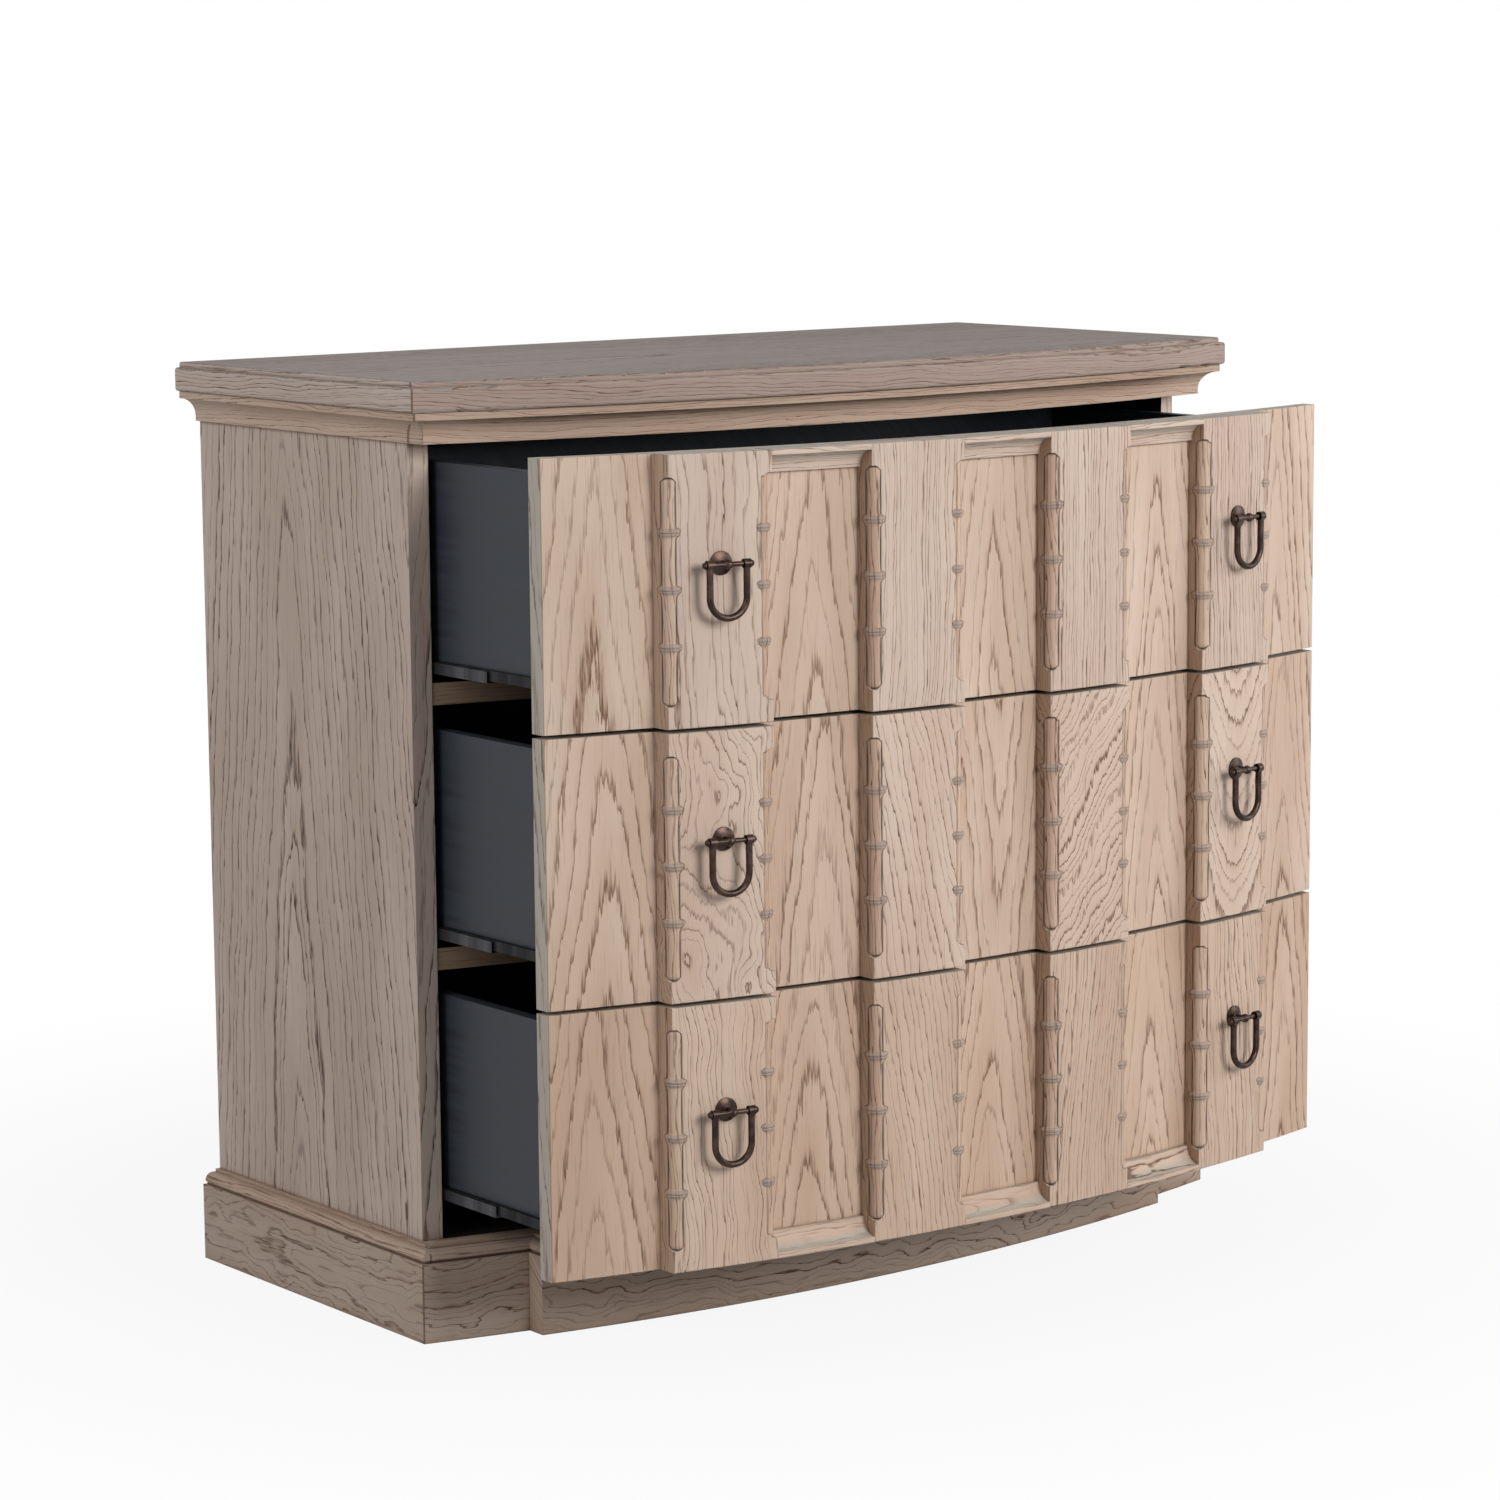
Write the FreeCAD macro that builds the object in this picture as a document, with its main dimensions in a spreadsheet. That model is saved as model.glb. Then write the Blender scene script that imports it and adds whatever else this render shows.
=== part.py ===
import FreeCAD, Part
import math
import os
import Sketcher

# Block front chest of three drawers, in millimetres.
# +Z is up, the front faces -Y, and the origin is on the floor at the middle of the case.
# The drawers stand open by drawer_open; sliding them back by that much closes them.

SIZES = {
    # Case
    "overall_height": 864,
    "case_width": 914.4,
    "case_depth": 355,
    "bow_radius": 1855,
    "side_thickness": 19,
    "back_thickness": 6,
    "back_rebate": 8,
    "back_play": 0.5,
    "bottom_thickness": 19,
    "divider_thickness": 20,
    "divider_setback": 1,
    "divider_rise": 3.5,
    "top_rail_depth": 60,
    # Top board
    "top_thickness": 27,
    "top_overhang_side": 25.5,
    "top_overhang_front": 54,
    "top_step_height": 5,
    "top_step_inset": 5,
    "top_edge_round": 3,
    "top_step_round": 2,
    # Cornice under the top
    "cornice_inset": 4,
    "cornice_cap_height": 7,
    "cove_radius": 17,
    "cove_lip": 5,
    # Plinth and its cap moulding
    "plinth_height": 73,
    "plinth_side_projection": 19,
    "plinth_front_projection": 33,
    "plinth_block_projection": 20,
    "plinth_block_width": 754,
    "plinth_back_thickness": 19,
    "stretcher_thickness": 19,
    "cap_groove_height": 2.5,
    "cap_groove_setback": 4.5,
    "cap_ovolo_height": 8,
    "cap_ovolo_setback": 2.5,
    "cap_ovolo_round": 7.4,
    "cap_fillet_height": 2.5,
    "cap_fillet_setback": 14,
    # Drawer fronts
    "drawer_open": 185,
    "gap_over_drawers": 2,
    "gap_under_drawers": 4,
    "gap_between_drawers": 3.5,
    "front_standoff": 1,
    "front_reveal": 0.5,
    "front_thickness": 16,
    "front_round": 2,
    "block_projection": 20,
    "block_round": 0.8,
    "rail_face_height": 5,
    "rail_cove_radius": 16,
    # Bamboo rods
    "rod_radius": 7.8,
    "rod_waist": 0.4,
    "rod_inset": 8,
    "rod_margin": 19.2,
    "rod_end_round": 5,
    "rod_quirk": 0.3,
    "rod_room_drop": 0.5,
    "ring_rise": 2,
    "ring_radius": 10.4,
    "ring_half_height": 2.7,
    "ring_flare_height": 4.5,
    "ring_flare_round": 7,
    "ring_shoulder": 1.2,
    "ring_split": 0.7,
    "ring_bead": 1.1,
    "ring_collar": 0.6,
    "ring_fit": 0.1,
    # Drawer boxes
    "drawer_side_gap": 8,
    "drawer_side_thickness": 12,
    "drawer_side_lift": 43,
    "drawer_side_drop": 16,
    "drawer_back_gap": 15,
    "drawer_bottom_lift": 12,
    "drawer_bottom_thickness": 6,
    "drawer_groove_depth": 5,
    "drawer_groove_play": 0.2,
    # Telescopic slides under the drawer sides
    "slide_length": 300,
    "slide_setback": 4,
    "slide_width": 24,
    "slide_drop": 13,
    "slide_head_gap": 1,
    "slide_wall": 1.5,
    "slide_play": 0.4,
    # Drop pulls
    "pull_drop": 95,
    "rosette_radius": 10.5,
    "rosette_rim": 1.4,
    "rosette_rise": 3.2,
    "rosette_crown_radius": 24,
    "post_radius": 2.7,
    "ball_radius": 4.2,
    "bar_reach": 14,
    "bar_radius": 2.2,
    "bar_half_length": 25.1,
    "bar_cap_radius": 3,
    "bar_cap_length": 3.2,
    "bail_half_width": 17.9,
    "bail_wire_radius": 3,
    "bail_drop": 49.3,
    "eye_radius": 4.2,
    "eye_half_length": 3.3,
    "eye_play": 0.06,
    "screw_radius": 2,
    "screw_grip": 6,
    "screw_fit": 0.1,
    "screw_head_radius": 4,
    "screw_head_height": 2.4,
    # How far a cutting shape runs past what it cuts
    "overrun": 5,
}

DRAWER_NAMES = ("lower_drawer", "middle_drawer", "upper_drawer")
BAYS = 9
BLOCK_BAYS = (1, 3, 5, 7)
PANEL_BAYS = (2, 4, 6)
PULL_BAYS = {"left": 1, "right": 7}
RINGS = 3

# Places closer than this count as one when edges are picked out
NEAR = 1e-4

doc = FreeCAD.newDocument("BlockFrontChest")
sheet = doc.addObject("Spreadsheet::Sheet", "Sizes")
for row, (alias, number) in enumerate(SIZES.items(), start=1):
    sheet.set(f"A{row}", alias)
    sheet.set(f"B{row}", str(number))
    sheet.setAlias(f"B{row}", alias)
doc.recompute()

pieces = []

# Places worked out from the sizes
HALF_CASE = "(Sizes.case_width / 2)"
HALF_INNER = "(Sizes.case_width / 2 - Sizes.side_thickness)"
BACK = "(Sizes.case_depth / 2)"
BACK_FACE = "(Sizes.case_depth / 2 - Sizes.back_thickness)"
BOW_CENTRE = f"(sqrt(Sizes.bow_radius ^ 2 - {HALF_CASE} ^ 2) - Sizes.case_depth / 2)"
TOP_UNDERSIDE = "(Sizes.overall_height - Sizes.top_thickness)"
CORNICE_HEIGHT = "(Sizes.cornice_cap_height + Sizes.cove_radius + Sizes.cove_lip)"
CORNICE_BOTTOM = f"({TOP_UNDERSIDE} - {CORNICE_HEIGHT})"
CAP_HEIGHT = "(Sizes.cap_groove_height + Sizes.cap_ovolo_height + Sizes.cap_fillet_height)"
CAP_TOP = f"(Sizes.plinth_height + {CAP_HEIGHT})"
BOTTOM_UNDERSIDE = f"({CAP_TOP} - Sizes.bottom_thickness)"
DRAWER_GAPS = "(Sizes.gap_over_drawers + Sizes.gap_under_drawers + 2 * Sizes.gap_between_drawers)"
FRONT_HEIGHT = f"(({CORNICE_BOTTOM} - {CAP_TOP} - {DRAWER_GAPS}) / {len(DRAWER_NAMES)})"
BAY = f"(Sizes.case_width / {BAYS})"
FRONT_FACE = "(Sizes.front_standoff + Sizes.front_thickness)"
BLOCK_FACE = "(Sizes.front_standoff + Sizes.front_thickness + Sizes.block_projection)"
OPEN = "Sizes.drawer_open"


def value(text):
    """The number that an expression stands for now."""
    return float(sheet.evalExpression(text))


def place(item, x, y, z):
    for axis, text in zip("xyz", (x, y, z)):
        item.setExpression(f"Placement.Base.{axis}", text)


def keep(label, item):
    """Name a finished sub-part, which is then written to its own file."""
    item.Label = label
    pieces.append(item)
    return item


def box(name, corner, size):
    item = doc.addObject("Part::Box", name)
    for prop, text in zip(("Length", "Width", "Height"), size):
        item.setExpression(prop, text)
    place(item, *corner)
    return item


def common(name, first, second):
    item = doc.addObject("Part::Common", name)
    item.Base = first
    item.Tool = second
    return item


def cut(name, base, *tools):
    for count, tool in enumerate(tools):
        item = doc.addObject("Part::Cut", f"{name}_cut{count}")
        item.Base = base
        item.Tool = tool
        base = item
    return base


def fuse(name, shapes):
    item = doc.addObject("Part::MultiFuse", name)
    item.Shapes = shapes
    return item


def group(name, shapes):
    """Like pieces that share a node stay separate solids."""
    item = doc.addObject("Part::Compound", name)
    item.Links = shapes
    return item


def mirror(name, source):
    """The right-hand twin of a left-hand piece."""
    item = doc.addObject("Part::Mirroring", name)
    item.Source = source
    item.Normal = FreeCAD.Vector(1, 0, 0)
    return item


def rounded(name, source, radius, wanted):
    """Round the edges of a shape that the test picks out."""
    doc.recompute()
    size = value(radius)
    edges = source.Shape.Edges
    item = doc.addObject("Part::Fillet", name)
    item.Base = source
    item.Edges = [(count, size, size) for count, edge in enumerate(edges, start=1) if wanted(edge)]
    return item


def level_edge(*heights):
    """True for the moulded edges at the given heights: all but those along the back."""
    levels = [value(text) for text in heights]

    def test(edge):
        bounds = edge.BoundBox
        flat = bounds.ZLength < NEAR
        back = bounds.YMin > 0
        return flat and not back and any(math.isclose(bounds.ZMin, z, abs_tol=NEAR) for z in levels)

    return test


def face_edge(reach):
    """True for the edges round the bowed face of a piece on an open drawer."""
    radius = value(f"Sizes.bow_radius + {reach}")
    centre = value(f"{BOW_CENTRE} - {OPEN}")

    def on_face(point):
        return math.isclose(math.hypot(point.x, point.y - centre), radius, abs_tol=NEAR)

    return lambda edge: all(on_face(vertex.Point) for vertex in edge.Vertexes)


def bow_cylinder(name, reach, z, height, out="0"):
    """An upright cylinder about the bow's axis, standing ahead of the case front by reach."""
    item = doc.addObject("Part::Cylinder", name)
    item.setExpression("Radius", f"Sizes.bow_radius + {reach}")
    item.setExpression("Height", f"{height} + 2 * Sizes.overrun")
    place(item, "0", f"{BOW_CENTRE} - {out}", f"{z} - Sizes.overrun")
    return item


def bowed(name, left, width, back, reach, z, height, out="0"):
    """A slab whose front follows the bow."""
    front = f"({BOW_CENTRE} - Sizes.bow_radius - {reach} - Sizes.overrun - {out})"
    blank = box(f"{name}_blank", (left, front, z), (width, f"{back} - {front}", height))
    return common(f"{name}_slab", blank, bow_cylinder(f"{name}_bow", reach, z, height, out))


def bow_ring(name, left, width, inner, outer, z, height, out="0"):
    """A bowed board of even thickness between two reaches."""
    slab = bowed(name, left, width, f"(0 - {out})", outer, z, height, out)
    return cut(name, slab, bow_cylinder(f"{name}_hollow", inner, z, height, out))


def moulded(name, side, front, z, height):
    """A slab round the case outline that stands out by side and, at the bow, by front."""
    half = f"({HALF_CASE} + {side})"
    return bowed(name, f"-{half}", f"2 * {half}", BACK, front, z, height)


def case_outline(name, z, height):
    """The plan of the case, which mouldings are fitted round."""
    z_low = f"{z} - Sizes.overrun"
    tall = f"{height} + 2 * Sizes.overrun"
    half = HALF_CASE
    return bowed(name, f"-{half}", f"2 * {half}", f"{BACK} + Sizes.overrun", "0", z_low, tall)


def corner_y(side, front):
    """Where a moulding's front meets its side, in plan."""
    return f"({BOW_CENTRE} - sqrt((Sizes.bow_radius + {front}) ^ 2 - ({HALF_CASE} + {side}) ^ 2))"


def mitre_box(name, side, front, z, height):
    """The half space that holds the left-hand length of a moulding, up to its mitre."""
    inner = corner_y("0", f"{front} - {side}")
    turn = f"atan2({inner} - {corner_y(side, front)}; {side})"
    reach = "2 * Sizes.case_depth"
    x = f"-{HALF_CASE} - {reach} * cos({turn})"
    y = f"{inner} - {reach} * sin({turn})"
    tall = f"{height} + 2 * Sizes.overrun"
    item = box(name, (x, y, f"{z} - Sizes.overrun"), (f"2 * {reach}", reach, tall))
    item.setExpression("Placement.Rotation.Angle", turn)
    return item


def mitred(name, front_frame, side_frame, side, front, z, height):
    """Saw mouldings that run round the case at their mitres into left, right and front lengths."""
    left_space = mitre_box(f"{name}_left_space", side, front, z, height)
    right_space = mirror(f"{name}_right_space", left_space)
    left = keep(f"{name}_left", common(f"{name}_left_length", side_frame, left_space))
    keep(f"{name}_right", mirror(f"{name}_right_length", left))
    keep(f"{name}_front", cut(f"{name}_front_length", front_frame, left_space, right_space))


def sketch_on(body, name, role):
    sketch = body.newObject("Sketcher::SketchObject", name)
    plane = [item for item in body.Origin.OriginFeatures if item.Role == role][0]
    sketch.AttachmentSupport = (plane, [""])
    sketch.MapMode = "FlatFace"
    return sketch


def fix_point(sketch, geometry, end, x, y):
    """Hold one end of a line or arc at a place given by expressions."""
    for kind, text, axis in (("DistanceX", x, -2), ("DistanceY", y, -1)):
        if text == "0":
            sketch.addConstraint(Sketcher.Constraint("PointOnObject", geometry, end, axis))
        else:
            rule = Sketcher.Constraint(kind, -1, 1, geometry, end, value(text))
            sketch.setExpression(f"Constraints[{sketch.addConstraint(rule)}]", text)


def arc_between(first, last, radius, turn):
    """The short arc of a radius from one point to another; turn is 1 for anticlockwise."""
    chord = last - first
    middle = (first + last) * 0.5
    rise = math.sqrt(max(radius ** 2 - (chord.Length / 2) ** 2, 0))
    normal = FreeCAD.Vector(-chord.y, chord.x, 0).normalize()
    centre = middle + normal * rise * turn
    start, end = (first, last) if turn > 0 else (last, first)
    angles = [math.atan2(point.y - centre.y, point.x - centre.x) for point in (start, end)]
    circle = Part.Circle(centre, FreeCAD.Vector(0, 0, 1), radius)
    return Part.ArcOfCircle(circle, *angles)


def outline(body, name, role, points, closed=True):
    """A sketch through points (x, y), or (x, y, radius, turn) where an arc leads to the point."""
    sketch = sketch_on(body, name, role)
    spots = [FreeCAD.Vector(value(point[0]), value(point[1]), 0) for point in points]
    steps = list(range(1, len(points)))
    if closed:
        steps.append(0)
    ends = []
    for step in steps:
        first, last, target = spots[step - 1], spots[step], points[step]
        if len(target) == 2:
            ends.append((sketch.addGeometry(Part.LineSegment(first, last)), 1, 2))
            continue
        radius, turn = target[2:]
        index = sketch.addGeometry(arc_between(first, last, value(radius), turn))
        rule = sketch.addConstraint(Sketcher.Constraint("Radius", index, value(radius)))
        sketch.setExpression(f"Constraints[{rule}]", radius)
        ends.append((index, 1, 2) if turn > 0 else (index, 2, 1))
    for (index, start, _), point in zip(ends, points):
        fix_point(sketch, index, start, *point[:2])
    for (index, _, end), (following, start, _) in zip(ends, ends[1:]):
        sketch.addConstraint(Sketcher.Constraint("Coincident", index, end, following, start))
    index, _, end = ends[-1]
    if closed:
        sketch.addConstraint(Sketcher.Constraint("Coincident", index, end, ends[0][0], ends[0][1]))
    else:
        fix_point(sketch, index, end, *points[-1][:2])
    return sketch


def circle_sketch(body, name, role, x, y, radius):
    sketch = sketch_on(body, name, role)
    centre = FreeCAD.Vector(value(x), value(y), 0)
    index = sketch.addGeometry(Part.Circle(centre, FreeCAD.Vector(0, 0, 1), value(radius)))
    fix_point(sketch, index, 3, x, y)
    rule = sketch.addConstraint(Sketcher.Constraint("Radius", index, value(radius)))
    sketch.setExpression(f"Constraints[{rule}]", radius)
    return sketch


def turned(body, sketch, axis, kind="Revolution"):
    """Turn an outline about the sketch's own axis, adding or taking away."""
    feature = body.newObject(f"PartDesign::{kind}", f"{sketch.Name}_{kind}")
    feature.Profile = sketch
    feature.ReferenceAxis = (sketch, [axis])
    feature.Angle = 360
    return feature


# Case: two sides, back, bottom, dividers and the front top rail

side = bowed("side_left", f"-{HALF_CASE}", "Sizes.side_thickness", BACK, "0", "0", TOP_UNDERSIDE)
rebate_x = f"-{HALF_INNER} - Sizes.back_rebate"
rebate = box(
    "side_rebate",
    (rebate_x, BACK_FACE, BOTTOM_UNDERSIDE),
    (
        "Sizes.back_rebate + Sizes.overrun",
        "Sizes.back_thickness + Sizes.overrun",
        f"{TOP_UNDERSIDE} - {BOTTOM_UNDERSIDE} + Sizes.overrun",
    ),
)
side = keep("side_left", cut("side_left_board", side, rebate))
keep("side_right", mirror("side_right_board", side))

back_half = f"({HALF_INNER} + Sizes.back_rebate - Sizes.back_play)"
back = box(
    "back_board",
    (f"-{back_half}", BACK_FACE, BOTTOM_UNDERSIDE),
    (f"2 * {back_half}", "Sizes.back_thickness", f"{TOP_UNDERSIDE} - {BOTTOM_UNDERSIDE}"),
)
keep("back_panel", back)

inner_left = f"-{HALF_INNER}"
inner_width = f"2 * {HALF_INNER}"
bottom_height = "Sizes.bottom_thickness"
bottom = bowed("bottom", inner_left, inner_width, BACK_FACE, "0", BOTTOM_UNDERSIDE, bottom_height)
keep("bottom_board", bottom)

rail_back = "-Sizes.top_rail_depth"
rail = bow_ring("top_rail", inner_left, inner_width, rail_back, "0", CORNICE_BOTTOM, CORNICE_HEIGHT)
keep("top_rail", rail)


def front_bottom(level):
    """The underside of a drawer front, counting drawers from the bottom."""
    step = f"({FRONT_HEIGHT} + Sizes.gap_between_drawers)"
    return f"({CAP_TOP} + Sizes.gap_under_drawers + {level} * {step})"


for level, label in ((1, "lower"), (2, "upper")):
    low = f"({front_bottom(level)} + Sizes.divider_rise)"
    divider = bowed(
        f"divider_{label}",
        inner_left,
        inner_width,
        BACK_FACE,
        "-Sizes.divider_setback",
        low,
        "Sizes.divider_thickness",
    )
    keep(f"divider_{label}", divider)

# Top board: a slab with rounded edges, and a smaller step above it

top_side = "Sizes.top_overhang_side"
top_front = "Sizes.top_overhang_front"
edge_height = "(Sizes.top_thickness - Sizes.top_step_height)"
step_floor = f"({TOP_UNDERSIDE} + {edge_height})"
edge_slab = moulded("top_edge", top_side, top_front, TOP_UNDERSIDE, edge_height)
edge_tests = level_edge(TOP_UNDERSIDE, step_floor)
edge_slab = rounded("top_edge_rounded", edge_slab, "Sizes.top_edge_round", edge_tests)
step_slab = moulded(
    "top_step",
    f"{top_side} - Sizes.top_step_inset",
    f"{top_front} - Sizes.top_step_inset",
    step_floor,
    "Sizes.top_step_height",
)
step_tests = level_edge("Sizes.overall_height")
step_slab = rounded("top_step_rounded", step_slab, "Sizes.top_step_round", step_tests)
keep("top_board", fuse("top_board_whole", [edge_slab, step_slab]))

# Cornice: a cap fillet over a hollow cove, with a plain lip below

cornice_side = f"({top_side} - Sizes.cornice_inset)"
cornice_front = f"({top_front} - Sizes.cornice_inset)"
cove_z = f"({CORNICE_BOTTOM} + Sizes.cove_lip)"
cove_height = f"({CORNICE_HEIGHT} - Sizes.cove_lip)"
bow_cove = doc.addObject("Part::Torus", "bow_cove")
bow_cove.setExpression("Radius1", f"Sizes.bow_radius + {cornice_front}")
bow_cove.setExpression("Radius2", "Sizes.cove_radius")
place(bow_cove, "0", BOW_CENTRE, cove_z)
side_cove = doc.addObject("Part::Cylinder", "side_cove")
side_cove.Placement.Rotation = FreeCAD.Rotation(FreeCAD.Vector(1, 0, 0), -90)
side_cove.setExpression("Radius", "Sizes.cove_radius")
side_cove.setExpression("Height", "2 * Sizes.case_depth")
place(side_cove, f"-{HALF_CASE} - {cornice_side}", "-Sizes.case_depth", cove_z)


def cornice_run(name, cove):
    """The cornice round the whole case, hollowed by one of its coves."""
    blank = moulded(name, cornice_side, cornice_front, cove_z, cove_height)
    hollowed = cut(f"{name}_hollowed", blank, cove)
    lip = moulded(
        f"{name}_lip",
        f"{cornice_side} - Sizes.cove_radius",
        f"{cornice_front} - Sizes.cove_radius",
        CORNICE_BOTTOM,
        "Sizes.cove_lip",
    )
    core = case_outline(f"{name}_core", CORNICE_BOTTOM, CORNICE_HEIGHT)
    return cut(f"{name}_frame", fuse(f"{name}_whole", [hollowed, lip]), core)


mitred(
    "cornice",
    cornice_run("bow_run", bow_cove),
    cornice_run("side_run", side_cove),
    cornice_side,
    cornice_front,
    CORNICE_BOTTOM,
    CORNICE_HEIGHT,
)

# Plinth: mitred boards round the foot of the case, and a block that breaks forward in the middle

plinth_side = "Sizes.plinth_side_projection"
plinth_front = "Sizes.plinth_front_projection"
block_front = "(Sizes.plinth_front_projection + Sizes.plinth_block_projection)"
plinth = moulded("plinth", plinth_side, plinth_front, "0", "Sizes.plinth_height")
plinth = cut("plinth_frame", plinth, case_outline("plinth_core", "0", "Sizes.plinth_height"))
mitred("plinth", plinth, plinth, plinth_side, plinth_front, "0", "Sizes.plinth_height")

plinth_block = bow_ring(
    "plinth_block",
    "-Sizes.plinth_block_width / 2",
    "Sizes.plinth_block_width",
    plinth_front,
    block_front,
    "0",
    "Sizes.plinth_height",
)
keep("plinth_block", plinth_block)

rear_y = f"({BACK} - Sizes.plinth_back_thickness)"
rear_rail = box(
    "rear_rail",
    (inner_left, rear_y, "0"),
    (inner_width, "Sizes.plinth_back_thickness", BOTTOM_UNDERSIDE),
)
keep("plinth_back", rear_rail)
stretcher_left = "-Sizes.stretcher_thickness / 2"
stretcher_width = "Sizes.stretcher_thickness"
stretcher = bowed("stretcher", stretcher_left, stretcher_width, rear_y, "0", "0", BOTTOM_UNDERSIDE)
keep("plinth_stretcher", stretcher)

# Base cap: a groove, a quarter round and a fillet, which also run round the plinth's block

cap_slabs = []
low = "Sizes.plinth_height"
for label in ("groove", "ovolo", "fillet"):
    setback = f"Sizes.cap_{label}_setback"
    height = f"Sizes.cap_{label}_height"
    side_reach = f"{plinth_side} - {setback}"
    outer = moulded(f"cap_{label}", side_reach, f"{plinth_front} - {setback}", low, height)
    half = f"(Sizes.plinth_block_width / 2 - {setback})"
    block_reach = f"{block_front} - {setback}"
    inner = bowed(f"cap_block_{label}", f"-{half}", f"2 * {half}", "0", block_reach, low, height)
    low = f"({low} + {height})"
    for slab in (outer, inner):
        if label == "ovolo":
            slab = rounded(f"{slab.Name}_rounded", slab, "Sizes.cap_ovolo_round", level_edge(low))
        cap_slabs.append(slab)
cap = fuse("cap_whole", cap_slabs)
cap = cut("cap_frame", cap, case_outline("cap_core", "Sizes.plinth_height", CAP_HEIGHT))
mitred("cap", cap, cap, plinth_side, plinth_front, "Sizes.plinth_height", CAP_HEIGHT)


# Drawers: each has a bowed front with blocks and rods, a box, slides and two pulls


def bay_edge(bay):
    """The left edge of a bay of the drawer fronts, counting from the left end."""
    return f"({bay} * {BAY} - {HALF_CASE})"


def face_y(x, reach):
    """The bow's place at x on an open drawer."""
    return f"({BOW_CENTRE} - sqrt((Sizes.bow_radius + {reach}) ^ 2 - {x} ^ 2) - {OPEN})"


def arc_radius(chord, rise):
    """The radius of an arc that rises by so much over its chord."""
    return f"((({chord}) ^ 2 / 4 + {rise} ^ 2) / (2 * {rise}))"


def bamboo(name, axis, low, quirk, fit, waisted):
    """A turned bamboo rod with three beaded rings; quirk and fit make the round niche that it lies in."""
    rod_length = f"({FRONT_HEIGHT} - 2 * Sizes.rod_margin)"
    length = f"({rod_length} + 2 * {quirk})"
    shaft = f"(Sizes.rod_radius + {quirk})"
    ease = f"(Sizes.rod_end_round + {quirk})"
    half = f"(Sizes.ring_half_height + {fit})"
    brim = f"(Sizes.ring_radius - Sizes.ring_bead + {fit})"
    bead = arc_radius(f"{half} + Sizes.ring_split", "Sizes.ring_bead")
    collar = arc_radius(f"{half} - Sizes.ring_split", "Sizes.ring_collar")
    points = [("0", "0"), (f"({shaft} - {ease})", "0"), (shaft, ease, ease, 1)]

    def run_to(z):
        """Carry the shaft up to a height, slimmer half way where it is waisted."""
        chord = f"{z} - {points[-1][1]}"
        hollow = (arc_radius(chord, "Sizes.rod_waist"), -1) if waisted else ()
        points.append((shaft, z, *hollow))

    for ring in range(1, RINGS + 1):
        middle = f"({rod_length} * {ring} / {RINGS + 1} + Sizes.ring_rise + {quirk})"
        run_to(f"({middle} - {half} - Sizes.ring_flare_height)")
        points.append((brim, f"({middle} - {half})", "Sizes.ring_flare_round", -1))
        points.append((brim, f"({middle} - Sizes.ring_split)", collar, 1))
        points.append((brim, f"({middle} + {half})", bead, 1))
        points.append((shaft, f"({middle} + {half} + Sizes.ring_shoulder)"))
    run_to(f"({length} - {ease})")
    points.append((f"({shaft} - {ease})", length, ease, 1))
    points.append(("0", length))
    body = doc.addObject("PartDesign::Body", name)
    turned(body, outline(body, f"{name}_outline", "XZ_Plane", points), "V_Axis")
    place(body, *axis, f"{low} + Sizes.rod_margin - {quirk}")
    return body


def rod_and_room(name, corner, inward, low):
    """A rod set in the corner of a block, flush with both faces, and the shapes that cut its niche."""
    x = f"({corner} + {inward} * Sizes.rod_inset)"
    y = f"({face_y(x, BLOCK_FACE)} + Sizes.rod_inset)"
    rod = bamboo(f"{name}_rod", (x, y), low, "0", "0", True)
    niche = bamboo(f"{name}_niche", (x, y), low, "Sizes.rod_quirk", "Sizes.ring_fit", False)
    reach = "(Sizes.rod_inset + Sizes.overrun)"
    margin = "(Sizes.rod_margin - Sizes.rod_quirk + Sizes.rod_room_drop)"
    left = f"{x} - {reach}" if inward > 0 else x
    blank = box(
        f"{name}_room",
        (left, f"{y} - {reach}", f"{low} + {margin}"),
        (reach, reach, f"{FRONT_HEIGHT} - 2 * {margin}"),
    )
    axis = FreeCAD.Vector(value(x), value(y), 0)

    def inner_end(edge):
        level = edge.BoundBox.ZLength < NEAR
        spots = [FreeCAD.Vector(vertex.X, vertex.Y, 0) for vertex in edge.Vertexes]
        return level and any(spot.distanceToPoint(axis) < NEAR for spot in spots)

    room = rounded(f"{name}_room_eased", blank, "Sizes.rod_end_round", inner_end)
    return rod, [niche, room]


def pull_place(body, bay, low, reach):
    """Set a body of a pull square to the bow at the middle of its bay; its +Y points outwards."""
    x = f"({bay_edge(bay)} + {BAY} / 2)"
    turn = f"asin({x} / (Sizes.bow_radius + {BLOCK_FACE}))"
    radius = f"(Sizes.bow_radius + {reach})"
    z = f"{low} + {FRONT_HEIGHT} - Sizes.pull_drop"
    place(body, f"{radius} * sin({turn})", f"{BOW_CENTRE} - {OPEN} - {radius} * cos({turn})", z)
    body.setExpression("Placement.Rotation.Angle", f"180 deg + {turn}")


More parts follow.
